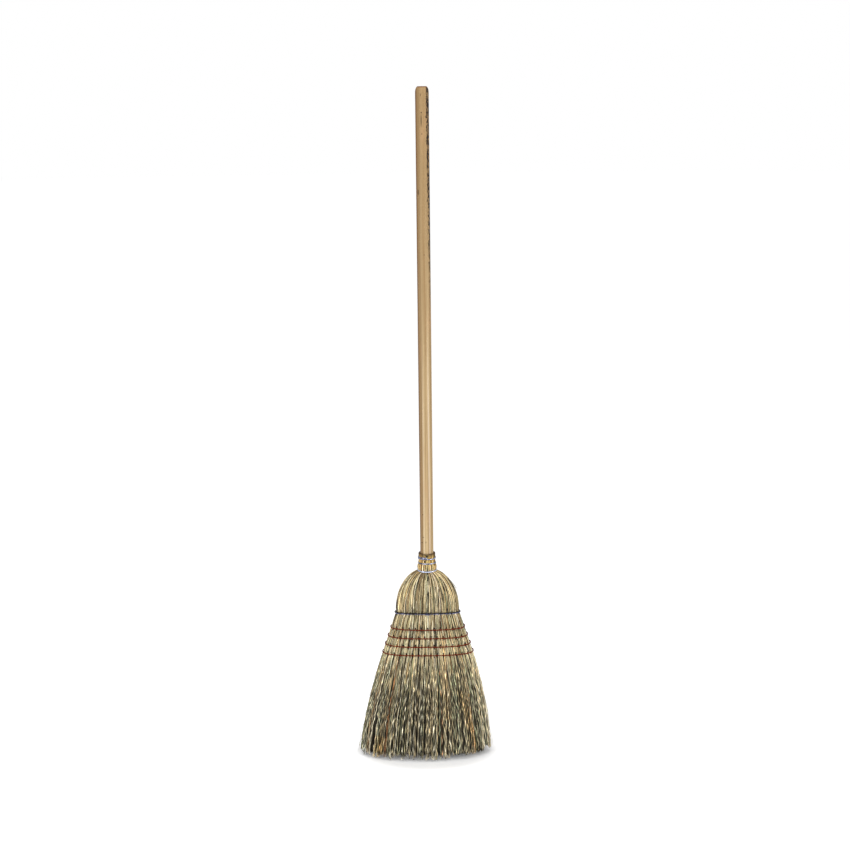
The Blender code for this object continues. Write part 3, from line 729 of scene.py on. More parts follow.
@dataclass(frozen=True)
class ToneMix:
    """How often each tone comes, and how much one stalk differs from the next."""

    shares: tuple[tuple[Tone, float], ...]
    spread: float = 0.16
    knots: int = 7

    def pick(self, count: int, warmth: Array, chance: Chance) -> Array:
        """Tones for a number of stalks.

        Args:
            count: How many.
            warmth: For each, how much likelier orange and brown are, from 0 to 1.
            chance: The random source.

        Returns:
            One RGB row for each.
        """
        tones = np.array([tone.value[:3] for tone, _ in self.shares])
        weights = np.array([share for _, share in self.shares])[None, :].repeat(count, axis=0)
        warm = np.array([tone in (Tone.ORANGE, Tone.GOLD, Tone.BROWN) for tone, _ in self.shares])
        gain, loss = 1 + 2.0 * warmth, 1 - 0.6 * warmth
        weights = weights * np.where(warm[None, :], gain[:, None], loss[:, None])
        steps = np.cumsum(weights, axis=1) / weights.sum(axis=1, keepdims=True)
        chosen = (chance.random(count)[:, None] > steps).sum(axis=1)
        light = np.exp(chance.normal(0, self.spread, (count, 1)))
        picked = tones[np.minimum(chosen, len(tones) - 1)]
        return np.clip(picked * light, 0.004, 0.86)

    def along(self, stations: int, warmth: Array, chance: Chance) -> Array:
        """Tones that change along each stalk, round a tone of its own.

        Args:
            stations: Points along a stalk.
            warmth: For each stalk, how much likelier orange and brown are.
            chance: The random source.

        Returns:
            Colours, as (stalks, stations, 3).
        """
        count, knots = len(warmth), self.knots
        picks = np.stack([self.pick(count, warmth, chance) for _ in range(knots)], axis=1)
        picks = 0.5 * self.pick(count, warmth, chance)[:, None] + 0.5 * picks
        way = np.linspace(0, knots - 1, stations) + chance.uniform(-0.5, 0.5, (count, 1))
        way = np.clip(way, 0, knots - 1.001)
        before, stalk = way.astype(int), np.arange(count)[:, None]
        share = ease((way - before) * 1.8 - 0.4)[..., None]
        return picks[stalk, before] * (1 - share) + picks[stalk, before + 1] * share


STALK_MIX = ToneMix((
    (Tone.STRAW, 0.40), (Tone.PALE, 0.26), (Tone.GREEN, 0.12), (Tone.OLIVE, 0.08),
    (Tone.ORANGE, 0.008), (Tone.GOLD, 0.02), (Tone.BROWN, 0.052), (Tone.GREY, 0.01), (Tone.DARK, 0.05),
), 0.25)
FIBRE_MIX = ToneMix((
    (Tone.STRAW, 0.40), (Tone.PALE, 0.27), (Tone.GREEN, 0.16), (Tone.OLIVE, 0.10),
    (Tone.ORANGE, 0.018), (Tone.GOLD, 0.024), (Tone.BROWN, 0.006), (Tone.DARK, 0.03),
), 0.17)


# Painted shade: the dark colour of the hearts inside the head.
HEART_SHADE = np.array(srgb(40, 32, 18)[:3])


@dataclass(frozen=True)
class WarmPatch:
    """A place on the front where orange and brown straw is common."""

    x_top: float
    z_top: float
    x_bottom: float
    z_bottom: float
    half_width: float
    strength: float

    def at(self, x: Array, z: Array) -> Array:
        """How warm the straw is at each place, from 0 to the strength."""
        share = np.clip((self.z_top - z) / (self.z_top - self.z_bottom), -0.2, 1.2)
        centre = self.x_top + (self.x_bottom - self.x_top) * share
        inside = (share > -0.1) & (share < 1.1)
        return self.strength * bell((x - centre) / self.half_width) * inside


WARM_PATCHES = (
    WarmPatch(0.030, 0.330, 0.040, 0.110, 0.0042, 0.70),
    WarmPatch(0.072, 0.140, 0.106, 0.010, 0.0070, 0.60),
    WarmPatch(-0.064, 0.315, -0.072, 0.255, 0.0055, 0.40),
    WarmPatch(-0.107, 0.046, -0.114, 0.000, 0.0120, 1.00),
)


def warmth(points: Array) -> Array:
    """How warm the straw is at each point, on both faces alike."""
    x = np.where(points[..., 1] > 0, -points[..., 0], points[..., 0])
    return np.clip(sum(patch.at(x, points[..., 2]) for patch in WARM_PATCHES), 0, 1)


@dataclass(frozen=True)
class Parting:
    """A narrow gap with pointed ends between stalks: its place, half sizes and how far it is lowered.

    Its x is a place on the head or, in a bunch's own list, a share of the bunch's course.
    """

    x: float
    z: float
    half_height: float
    half_width: float
    drop: float = 0.0


FRONT_PARTINGS = (
    Parting(-0.0250, 0.405, 0.018, 0.0015),
    Parting(0.0235, 0.405, 0.022, 0.0016),
    Parting(0.0400, 0.395, 0.020, 0.0016),
    Parting(0.0335, 0.402, 0.018, 0.0013),
    Parting(0.0000, 0.350, 0.014, 0.0013),
    Parting(0.0010, 0.402, 0.016, 0.0010),
    Parting(0.0380, 0.372, 0.024, 0.0012),
    Parting(0.0450, 0.345, 0.020, 0.0012),
)


@dataclass
class Tubes:
    """Closed tubes given as rings of points, in the direction in which they run."""

    rings: Array
    tone: Array
    finish: int = 0

    @classmethod
    def along(
        cls, points: Array, across: Array, width: Array, thick: Array,
        sides: int, tone: Array,
    ) -> "Tubes":
        """Oval tubes round centre lines.

        Args:
            points: Centre lines, as (tubes, stations, 3).
            across: The direction of each tube's width, of the same shape.
            width: Half widths at each station.
            thick: Half thicknesses at each station.
            sides: Corners of a ring.
            tone: Colours at each station.

        Returns:
            The tubes.
        """
        run = np.gradient(points, axis=1)
        run /= np.linalg.norm(run, axis=-1, keepdims=True) + 1e-12
        across = across - run * np.sum(across * run, axis=-1, keepdims=True)
        across /= np.linalg.norm(across, axis=-1, keepdims=True) + 1e-12
        out = np.cross(run, across)
        turn = TURN * (np.arange(sides) + 0.5) / sides
        rings = points[:, :, None, :] + (
            across[:, :, None, :] * (width[:, :, None] * np.cos(turn))[..., None]
            + out[:, :, None, :] * (thick[:, :, None] * np.sin(turn))[..., None]
        )
        return cls(rings, tone)


def tube_object(name: str, sets: list[Tubes], finishes: Finishes) -> Object:
    """One mesh of many closed tubes of straw.

    Args:
        name: The piece's name.
        sets: The tubes, whose finish is 0 for straw and 1 for its heart, painted dark as shade.
        finishes: The broom's materials.

    Returns:
        The object, linked to the scene.
    """
    corners, loops, starts, numbers, colours = [], [], [], [], []
    first_vertex = first_loop = 0
    for tubes in sets:
        count, stations, sides = tubes.rings.shape[:3]
        ring = first_vertex + np.arange(count * stations).reshape(count, stations)[..., None] * sides
        here = ring + np.arange(sides)
        after = ring + (np.arange(sides) + 1) % sides
        quads = np.stack([here[:, :-1], after[:, :-1], after[:, 1:], here[:, 1:]], axis=-1).reshape(-1, 4)
        caps = np.concatenate([here[:, 0, ::-1], here[:, -1]])
        for faces in (quads, caps):
            starts.append(first_loop + np.arange(len(faces)) * faces.shape[1])
            loops.append(faces.reshape(-1))
            numbers.append(np.full(len(faces), tubes.finish))
            first_loop += faces.size
        corners.append(tubes.rings.reshape(-1, 3))
        tone = np.broadcast_to(tubes.tone[:, :, None, :], (count, stations, sides, 3)).reshape(-1, 3)
        colours.append(np.concatenate([tone, np.ones((len(tone), 1))], axis=1))
        first_vertex += count * stations * sides
    mesh = bpy.data.meshes.new(name)
    mesh.vertices.add(first_vertex)
    mesh.vertices.foreach_set("co", np.concatenate(corners).astype(np.float32).reshape(-1))
    mesh.loops.add(first_loop)
    mesh.loops.foreach_set("vertex_index", np.concatenate(loops).astype(np.int32))
    start = np.concatenate(starts).astype(np.int32)
    mesh.polygons.add(len(start))
    mesh.polygons.foreach_set("loop_start", start)
    mesh.polygons.foreach_set("material_index", np.concatenate(numbers).astype(np.int32))
    mesh.update(calc_edges=True)
    mesh.validate()
    mesh.shade_smooth()
    tone_layer = mesh.color_attributes.new(name="straw_tone", type="FLOAT_COLOR", domain="POINT")
    tone_layer.data.foreach_set("color", np.concatenate(colours).astype(np.float32).reshape(-1))
    for material in (finishes.straw, finishes.heart):
        mesh.materials.append(material)
    piece = bpy.data.objects.new(name, mesh)
    bpy.context.scene.collection.objects.link(piece)
    return piece


def dress(piece: Object, material: Material) -> None:
    """Gives a piece one material all over."""
    piece.data.materials.clear()
    piece.data.materials.append(material)


def settle(piece: Object, node: str) -> None:
    """Makes a finished piece part of the broom.

    Args:
        piece: The piece.
        node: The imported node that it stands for.
    """
    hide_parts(node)
    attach(piece, "root")
    LOG.info("%s: %d faces, for %s", piece.name, len(piece.data.polygons), node)


@dataclass(frozen=True)
class PartingBand:
    """A stretch of height with partings at random places: how many, and their half sizes."""

    count: int
    low: float
    high: float
    shortest: float
    longest: float
    half_width: float


PARTING_BANDS = (
    PartingBand(54, 0.000, 0.150, 0.006, 0.018, 0.0010),
    PartingBand(16, 0.135, 0.220, 0.012, 0.028, 0.0010),
    PartingBand(22, 0.235, 0.425, 0.010, 0.030, 0.0010),
)


@dataclass(frozen=True)
class Stray:
    """A single fibre that stands away: its two heights, its line and how far out it ends."""

    top: float
    end: float
    share: float
    out: float


@dataclass(frozen=True)
class StemHabit:
    """How the stems of a bunch grow and lie, in metres. Ends are the lowest, likeliest and highest."""

    width: float = 0.0015
    stations: int = 44
    sides: int = 6
    counting_height: float = 0.240
    lowest_room: float = 0.190
    rim_unevenness: float = 0.0009
    arrival_lift: float = 0.004
    least_drop: float = 0.030
    ends: Triple = (0.075, 0.150, 0.222)
    end_length: float = 0.045
    inset: float = 0.0007
    level_spread: float = 0.0009
    collar_blend: float = 0.008
    buried_depth: float = 0.0024
    end_depth: float = 0.0018
    sunk_depth: float = 0.0007
    wire_dip: float = 0.0011
    wire_dip_reach: float = 0.0032
    branching_length: float = 0.090
    neck_blend: float = 0.010
    thickest: float = 0.00085


@dataclass(frozen=True)
class StemShade:
    """Painted light and shade on the stems, with the collar's own colours: factors on their tones, and the
    lengths over which they change.
    """

    light: float = 1.36
    sunk: Triple = (0.62, 0.55, 0.44)
    raised: Triple = (1.04, 1.01, 0.95)
    lower_collar: Triple = (1.00, 0.87, 0.66)
    upper_collar: Triple = (1.05, 0.86, 0.48)
    cut: Colour = srgb(50, 22, 12)
    cut_length: float = 0.0044
    cut_blend: float = 0.0016
    warm_height: float = 0.30
    depth_shade_from: float = 0.0009
    depth_shade_reach: float = 0.0024
    deep: float = 0.66
    below_rows: float = 0.50
    below_rows_gap: float = 0.004
    below_rows_blend: float = 0.030
    below_shoulder: float = 0.07
    below_shoulder_blend: float = 0.006
    under_wire_shade: Triple = (0.20, 0.28, 0.36)
    under_wire_reach: float = 0.014


@dataclass(frozen=True)
class StrawHabit:
    """Thin short straws over the stems, in metres."""

    count: int = 46
    stations: int = 14
    highest: float = 0.410
    lowest: float = 0.215
    shortest: float = 0.018
    longest: float = 0.070
    radius: float = 0.00048
    inset: float = 0.0004
    end_depth: float = 0.0020


@dataclass(frozen=True)
class FibreHabit:
    """How the fibres of the sweep branch, wander, weave and end, in metres or as shares."""

    clump_pitch: float = 0.0030
    clump_half_width: float = 0.00034
    clump_fibres: int = 4
    single_half_width: float = 0.0002
    inner_depth: float = 0.16
    outer_lean: float = 0.0014
    single_lean: float = 0.0070
    inner_lean: float = 0.0030
    outer_stations: int = 60
    inner_stations: int = 14
    radius: float = 0.00044
    tip_radius: float = 0.00030
    lowest_top: float = 0.206
    outer_top: float = 0.300
    inner_top: float = 0.255
    loose_above: float = 0.004
    loosening: float = 0.050
    wave: float = 0.0012
    long_waves: Pair = (0.06, 0.16)
    long_share: Pair = (0.2, 0.9)
    short_waves: Pair = (0.018, 0.030)
    short_share: Pair = (0.22, 0.62)
    unevenness: float = 0.00042
    weave: float = 0.0009
    weave_share: Pair = (0.2, 1.3)
    weave_length: float = 0.027
    weave_bend_length: float = 0.113
    spin: float = 22
    crinkle: float = 0.00013
    spreading: float = 0.0010
    inset: float = 0.0006
    top_depth: float = 0.0024
    top_length: float = 0.020
    proud: float = 0.0010
    single_proud: float = 0.0020


@dataclass(frozen=True)
class TipHabit:
    """How the tips end: ragged tufts, raised at the right of the front and flared outwards."""

    tufts: int = 7
    gathering: float = 0.0010
    ragged: float = 0.0168
    tuft_share: float = 0.7
    inner_tips: float = 0.0045
    least: float = 0.0006
    spread: float = 0.0012
    raised: float = 0.0085
    raised_from: float = 0.015
    raised_blend: float = 0.085
    raised_depth: float = 0.030
    raised_length: float = 0.30
    flare: float = 0.0035
    flare_length: float = 0.07


@dataclass(frozen=True)
class FibreShade:
    """Light and dark in the sweep: factors on the tones, and the lengths over which they change."""

    light: float = 2.02
    layers: tuple[float, ...] = (1.0, 0.09, 0.04, 0.02, 0.015)
    depth: float = 0.0024
    weave_depth: float = 0.0009
    tip: float = 0.20
    tip_length: float = 0.012
    glint: float = 0.42
    glint_lengths: Pair = (0.018, 0.050)
    greyer: Triple = (0.16, 0.13, 0.06)
    warmer: Triple = (0.36, 0.11, -0.22)
    warm_height: float = 0.14
    warm_low_height: float = 0.03
    sewn: float = 0.16
    sewn_gap: float = 0.004
    sewn_blend: float = 0.012
    middle: float = 0.24
    middle_height: float = 0.132
    middle_reach: float = 0.026


@dataclass(frozen=True)
class FibreSet:
    """One set of fibres: how many layers lie over it, its clumps, and how they lie.

    Depth is in shares of the cover. By its tips a clump drifts aside by lean and stands out by proud.
    """

    layer: int
    owners: int
    fibres: int
    stations: int
    depth: Pair
    half_width: float
    lean: float
    proud: float = 0.0


@dataclass
class Clumps:
    """The clumps of one set of fibres: their lines, depths and the heights of their stations."""

    middle: Array
    owner: Array
    level: Array
    top: Array
    way: Array
    z: Array
    fall: Array
    loose: Array

    def each(self, values: Array) -> Array:
        """One value for each clump, given to its fibres."""
        return values[self.owner][:, None]


@dataclass
class HurlBunch:
    """One bunch of cover stalks: flat stems over the dome that branch into wavy fibres."""

    node: str
    course: Course
    seed: int
    strays: tuple[Stray, ...] = ()
    stem: StemHabit = StemHabit()
    stem_shade: StemShade = StemShade()
    straw: StrawHabit = StrawHabit()
    fibre: FibreHabit = FibreHabit()
    tips: TipHabit = TipHabit()
    fibre_shade: FibreShade = FibreShade()
    parting_reach: float = 0.0022
    heart_end: float = 0.085
    stray_radius: float = 0.00036
    stray_light: float = 0.62
    chance: Chance = field(init=False)
    partings: list[Parting] = field(init=False)
    tufts: Array = field(init=False)

    def __post_init__(self) -> None:
        """Seeds the bunch's own sources of chance, and places its partings and the tufts of its tips."""
        self.chance = np.random.default_rng(self.seed)
        self.tufts = np.random.default_rng(self.seed + 500).random(self.tips.tufts)
        self.partings = self.random_partings()
        if self.course.face in (Face.FRONT, Face.BACK):
            self.partings += self.placed_partings()

    def random_partings(self) -> list[Parting]:
        """Partings at random places, each at a share of the course instead of an x."""
        chance, partings = self.chance, []
        for band in PARTING_BANDS:
            for _ in range(band.count):
                place = chance.uniform(0.02, 0.98), chance.uniform(band.low, band.high)
                reach = chance.uniform(band.shortest, band.longest)
                partings.append(Parting(*place, reach, band.half_width * chance.uniform(0.5, 1.25)))
        return partings

    def placed_partings(self) -> list[Parting]:
        """Partings at the stitches, under the last row and, on the front, where the photograph has them.

        Returns:
            The partings.
        """
        shape = self.course.shape
        places = [(x, row) for row in shape.row_heights for x in shape.stitch_places(row)]
        gaps = [Parting(x, row, 0.0064, 0.0012) for x, row in places]
        for x in shape.stitch_places(shape.sweep_length):
            length = self.chance.uniform(0.012, 0.024)
            gaps.append(Parting(x, shape.sweep_length, length, 0.0016, 0.8 * length))
        if self.course.face is Face.FRONT:
            gaps += FRONT_PARTINGS
        partings = []
        for gap in gaps:
            share = self.course.share_at(gap.x, gap.z)
            if -0.1 < share < 1.1:
                partings.append(Parting(share, gap.z - gap.drop, gap.half_height, gap.half_width))
        return partings

    def parted(self, shares: Array, z: Array, width: Array) -> Array:
        """Lines pushed aside by the partings, which are narrow gaps with pointed ends.

        Args:
            shares: Lines of the course.
            z: Heights.
            width: The course's width at each point.

        Returns:
            The new lines of the course.
        """
        pushed = shares * width
        for gap in self.partings:
            open_here = gap.half_width * np.clip(1 - ((z - gap.z) / gap.half_height) ** 2, 0, 1)
            off = shares * width - gap.x * width
            pushed = pushed + np.sign(off) * open_here * np.exp(-np.abs(off) / self.parting_reach)
        return pushed / width

    def sideways(self, share: Array, z: Array, inset: Array) -> Array:
        """The direction along the surface, across the stalks."""
        step = 0.01
        there = self.course.place(share + step, z, inset)
        return there - self.course.place(share - step, z, inset)

    def width_at(self, z: Array) -> Array:
        """The course's width at many heights, read from a table."""
        table = np.linspace(0.46, 0, 100)
        return np.interp(-z, -table, self.course.width(table))

    def stalk_heights(self, top: Array, end: Array, stations: int) -> Array:
        """Heights of the stations of each stalk, closer together at the wires and rows.

        Args:
            top: Where each stalk starts.
            end: Where each stalk ends.
            stations: How many points each has.

        Returns:
            Heights, as (stalks, stations).
        """
        shape = self.course.shape
        z = np.linspace(shape.rim + 0.001, 0.08, 1600)
        line = self.course.place(np.full_like(z, 0.5), z, np.zeros_like(z))
        step = np.linalg.norm(np.diff(line, axis=0), axis=1)
        near = 1 + 4 * bell((z[1:] - shape.lower_wire) / 0.012)
        for height in (shape.shoulder, *shape.row_heights):
            near = near + 3 * bell((z[1:] - height) / 0.005)
        near = near * np.where(z[1:] < shape.sweep_length - 0.01, 0.5, 1.0)
        run = np.concatenate([[0], np.cumsum(step * near)])
        first, last = np.interp(-top, -z, run), np.interp(-end, -z, run)
        share = np.linspace(0, 1, stations)
        return np.interp(first[:, None] + (last - first)[:, None] * share, run, z)

    def collar_tone(self, tone: Array, z: Array) -> Array:
        """Yellower butts above the wires, and darker red-brown towards the rim."""
        shape, shade = self.course.shape, self.stem_shade
        yellow = ease((z - shape.lower_wire - 0.001) / 0.006)[..., None]
        upper = ease((z - shape.middle_wire + 0.002) / 0.004)[..., None]
        dyed = np.array(shade.lower_collar) * (1 - upper) + np.array(shade.upper_collar) * upper
        tone = tone * (1 - yellow) + tone * dyed * yellow
        # Darker red-brown over the top few millimetres below the rim.
        below_cut = (z - shape.rim + shade.cut_length) / shade.cut_blend
        cut = 0.95 * ease(below_cut)[..., None]
        return tone * (1 - cut) + np.array(shade.cut[:3]) * cut

    def stem_tone(self, share: Array, z: Array, inset: Array, collar: Array,
                  sunk: Array) -> Array:
        """The stems' tones, with painted shade where they lie deep, where they lie under their neighbours
        and just under the neck wire, and darker below the rows.

        Args:
            share: Each stem's line of the course.
            z: Heights of the stations.
            inset: Their depths.
            collar: From 0 on the dome to 1 on the collar.
            sunk: Where a stem lies under its neighbours.

        Returns:
            Colours, as (stems, stations, 3).
        """
        shape, shade, chance = self.course.shape, self.stem_shade, self.chance
        count = len(share)
        middle = self.course.place(share, np.full(count, shade.warm_height), np.zeros(count))
        tone = STALK_MIX.along(self.stem.stations, warmth(middle), chance) * shade.light
        tone = tone * np.exp(chance.normal(0, 0.08, z.shape))[..., None]
        # Painted shade on the stems that lie under their neighbours, and painted light on the raised ones.
        tone = tone * np.where(sunk[..., None], np.array(shade.sunk), np.array(shade.raised))
        tone = tone * np.exp(chance.normal(0, 0.30, (count, 1)) * collar)[..., None]
        tone = self.collar_tone(tone, z)
        # Painted shade, deeper the further a stem lies under the surface.
        deep = np.clip((inset - shade.depth_shade_from) / shade.depth_shade_reach, 0, 1)[..., None]
        sweep = ease((shape.sweep_length - shade.below_rows_gap - z) / shade.below_rows_blend)
        tone = tone * (1 - shade.deep * deep) * (1 - shade.below_rows * sweep[..., None])
        body = ease((shape.shoulder - z) / shade.below_shoulder_blend)
        tone = tone * (1 - shade.below_shoulder * body)[..., None]
        # Painted shade on the dome just under the lowest neck wire.
        below_wire = np.maximum(shape.lower_wire - z, 0) / shade.under_wire_reach
        under_wire_shade = bell(below_wire) * (z < shape.lower_wire)
        return tone * (1 - np.array(shade.under_wire_shade) * under_wire_shade[..., None])

    def stalks(self) -> Tubes:
        """The stems that show: a few at the neck, with more coming up between them down the dome.

        Returns:
            The stems as tubes.
        """
        shape, chance, stem = self.course.shape, self.chance, self.stem
        table = np.linspace(shape.rim, stem.lowest_room, 400)
        room = self.course.width(table) / stem.width
        count = int(round(float(np.interp(-stem.counting_height, -table, room))))
        share = (np.arange(count) + 0.5 + chance.uniform(-0.38, 0.38, count)) / count
        rank = (np.arange(count) * GOLDEN_SHARE + chance.random()) % 1 * count
        rim = shape.rim + chance.uniform(-stem.rim_unevenness, stem.rim_unevenness, count)
        arrival = np.interp(rank - 0.8, room, table) + stem.arrival_lift
        at_rim = rank < room[0] + 0.8
        top = np.where(at_rim, rim, np.minimum(arrival, rim - stem.least_drop))
        end = chance.triangular(*stem.ends, count)
        z = self.stalk_heights(top, end, stem.stations)
        full = np.interp(-z, -table, room)
        buried = ease((rank[:, None] - full) / 1.6 + 0.5)
        ending = ease((end[:, None] + stem.end_length - z) / stem.end_length)
        level = chance.uniform(0, stem.level_spread, (count, 1))
        collar = ease((z - shape.lower_wire) / stem.collar_blend + 0.5)
        sunk = (np.arange(count) % 3 == 1)[:, None] & (z < shape.lower_wire)
        inset = (stem.inset + level) * (1 - 0.9 * collar)
        inset = inset + stem.buried_depth * buried + stem.end_depth * ending + stem.sunk_depth * sunk
        inset = inset + stem.wire_dip * bell((z - shape.shoulder) / stem.wire_dip_reach)
        drift = chance.normal(0, 0.30, (count, 1)) * np.linspace(0, 1, stem.stations)
        wobble = chance.normal(0, 0.03, z.shape)
        shares = self.parted(share[:, None] + (drift + wobble) / count, z, self.width_at(z))
        points = self.course.place(shares, z, inset)
        size = stem.width / 2 * np.exp(chance.normal(-0.05, 0.30, (count, 1)))
        branching = ease((shape.shoulder - z) / stem.branching_length)
        taper = 1 - 0.25 * branching - 0.45 * ending
        neck = 1 - 0.12 * ease((z - shape.lower_wire) / stem.neck_blend)
        width = size * taper * neck * np.exp(chance.normal(0, 0.04, z.shape))
        thick = np.minimum(width * 0.85, stem.thickest)
        tone = self.stem_tone(share, z, inset, collar, sunk)
        return Tubes.along(points, self.sideways(shares, z, inset), width, thick, stem.sides, tone)

    def thin_straws(self) -> Tubes:
        """Thin short straws, light and dark, that lie over and between the stems.

        Returns:
            The straws as tubes.
        """
        chance, straw, count = self.chance, self.straw, self.straw.count
        share = chance.uniform(0.02, 0.98, count)
        top = chance.uniform(straw.lowest, straw.highest, count)
        length = chance.uniform(straw.shortest, straw.longest, count)
        z = self.stalk_heights(top, top - length, straw.stations)
        way = np.linspace(0, 1, straw.stations)
        ends = ease(1 - way / 0.15) + ease(1 - (1 - way) / 0.15)
        inset = straw.inset * (1 + chance.uniform(0, 1, (count, 1))) + straw.end_depth * ends[None, :]
        slant = chance.normal(0, 0.05, (count, 1)) * length[:, None] * (way - 0.5)
        shares = np.clip(share[:, None] + slant / self.width_at(z), 0.0, 1.0)
        points = self.course.place(shares, z, inset)
        size = np.exp(chance.normal(0, 0.25, (count, 1)))
        width = straw.radius * size * np.ones_like(z)
        tone = FIBRE_MIX.pick(count, np.zeros(count), chance)[:, None, :]
        tone = tone * np.where(chance.random(count) < 0.5, 0.10, 1.30)[:, None, None]
        tone = tone * np.exp(chance.normal(0, 0.07, z.shape))[..., None]
        return Tubes.along(points, self.sideways(shares, z, inset), width, width, 4, tone)

    def clumps(self, kind: FibreSet) -> Clumps:
        """Places the clumps of a set and gives each fibre its heights.

        Args:
            kind: The set.

        Returns:
            The clumps.
        """
        shape, chance, fibre, tips = self.course.shape, self.chance, self.fibre, self.tips
        count = kind.owners * kind.fibres
        jitter = chance.uniform(-0.3, 0.3, kind.owners) * (1 if kind.fibres > 1 else 3)
        middle = ((np.arange(kind.owners) + chance.random() + jitter) % kind.owners) / kind.owners
        owner = np.repeat(np.arange(kind.owners), kind.fibres)
        level = chance.uniform(*kind.depth, kind.owners)[owner]
        highest = fibre.inner_top if kind.layer else fibre.outer_top
        top = chance.uniform(fibre.lowest_top, highest, count)
        tuft = np.interp(middle, np.linspace(0, 1, len(self.tufts)), self.tufts)
        short = tips.tuft_share * tuft + (1 - tips.tuft_share) * chance.random(kind.owners)
        tip = tips.ragged * short[owner] ** 1.5 + (tips.inner_tips if kind.layer else 0)
        tip = tip + tips.least + np.abs(chance.normal(0, tips.spread, count))
        way = np.linspace(0, 1, kind.stations)[None, :]
        z = top[:, None] + (tip - top)[:, None] * way
        loose = ease((shape.sweep_length + fibre.loose_above - z) / fibre.loosening)
        return Clumps(middle, owner, level, top, way, z, shape.fall(z), loose)

    def waves(self, kind: FibreSet, clumps: Clumps) -> Array:
        """How far each clump wanders aside, in a long wave, a short one and unevenly.

        Args:
            kind: The set of fibres.
            clumps: Its clumps.

        Returns:
            Distances aside, for each fibre and station.
        """
        chance, fibre, owners = self.chance, self.fibre, kind.owners

        def wave_of(lengths: Pair) -> Array:
            """A wave with its own length and start for each clump."""
            turns = TURN * clumps.z / clumps.each(chance.uniform(*lengths, owners))
            return np.sin(turns + clumps.each(chance.uniform(0, TURN, owners)))

        long_wave, short_wave = wave_of(fibre.long_waves), wave_of(fibre.short_waves)
        wave = clumps.each(fibre.wave * chance.uniform(*fibre.long_share, owners)) * long_wave
        if kind.layer < 2:
            height = clumps.each(fibre.wave * chance.uniform(*fibre.short_share, owners))
            wave = wave + height * short_wave
        noise = chance.normal(0, fibre.unevenness, (owners, kind.stations + 2))
        return wave + ((noise[:, :-2] + noise[:, 1:-1] + noise[:, 2:]) / 2)[clumps.owner]

    def weave(self, clumps: Clumps) -> Array:
        """How deep each clump dips under its neighbours, over and under in turn."""
        chance, fibre, owners = self.chance, self.fibre, len(clumps.middle)
        turn = math.pi * np.arange(owners) + chance.normal(0, 0.7, owners)
        bend = 2.2 * np.sin(TURN * clumps.z / fibre.weave_bend_length)
        start = clumps.each(turn[np.argsort(np.argsort(clumps.middle))])
        dip = 1 + np.sin(TURN * clumps.z / fibre.weave_length + bend + start)
        height = clumps.each(fibre.weave * chance.uniform(*fibre.weave_share, owners))
        return height * dip * clumps.loose

    def flared(self, points: Array, z: Array) -> Array:
        """Fibres whose tips are raised at the right of the front and flared outwards."""
        tips = self.tips
        right = ease((points[:, -1:, 0] - tips.raised_from) / tips.raised_blend)
        front = ease(-points[:, -1:, 1] / tips.raised_depth)
        fading = (1 - z / tips.raised_length) ** 4 * (z < tips.raised_length)
        points[..., 2] += tips.raised * right * front * fading
        flare = tips.flare / (self.course.shape.sweep_depth / 2)
        points[..., 1] *= 1 + flare * ease(1 - z / tips.flare_length)
        return points

    def fibre_tone(self, kind: FibreSet, clumps: Clumps, points: Array, shade: Array) -> Array:
        """The fibres' tones, mostly shared by a clump.

        Args:
            kind: The set.
            clumps: Its clumps.
            points: Its centre lines.
            shade: How light each point is.

        Returns:
            Colours, as (fibres, stations, 3).
        """
        shape, look, chance = self.course.shape, self.fibre_shade, self.chance
        owners, count, z = kind.owners, len(clumps.owner), clumps.z
        high, low = (warmth(self.course.place(clumps.middle, np.full(owners, height), np.zeros(owners)))
                     for height in (look.warm_height, look.warm_low_height))
        warm = np.maximum(high, low * 0.8)
        shared = FIBRE_MIX.pick(owners, warm, chance)[clumps.owner]
        own = FIBRE_MIX.pick(count, warm[clumps.owner] * 0.5, chance)
        tone = np.where(chance.random((count, 1)) < 0.75, shared, own)
        greyer = 1 - np.array(look.greyer) * clumps.fall[..., None]
        sewn = look.sewn * ease((z - shape.sweep_length + look.sewn_gap) / look.sewn_blend)
        shade = shade * (1 - sewn - look.middle * bell((z - look.middle_height) / look.middle_reach))
        tone = tone[:, None, :] * look.light * greyer * shade[..., None]
        tone = tone * (1 + warmth(points)[..., None] * np.array(look.warmer))
        return tone * np.exp(chance.normal(0, 0.13, z.shape))[..., None]

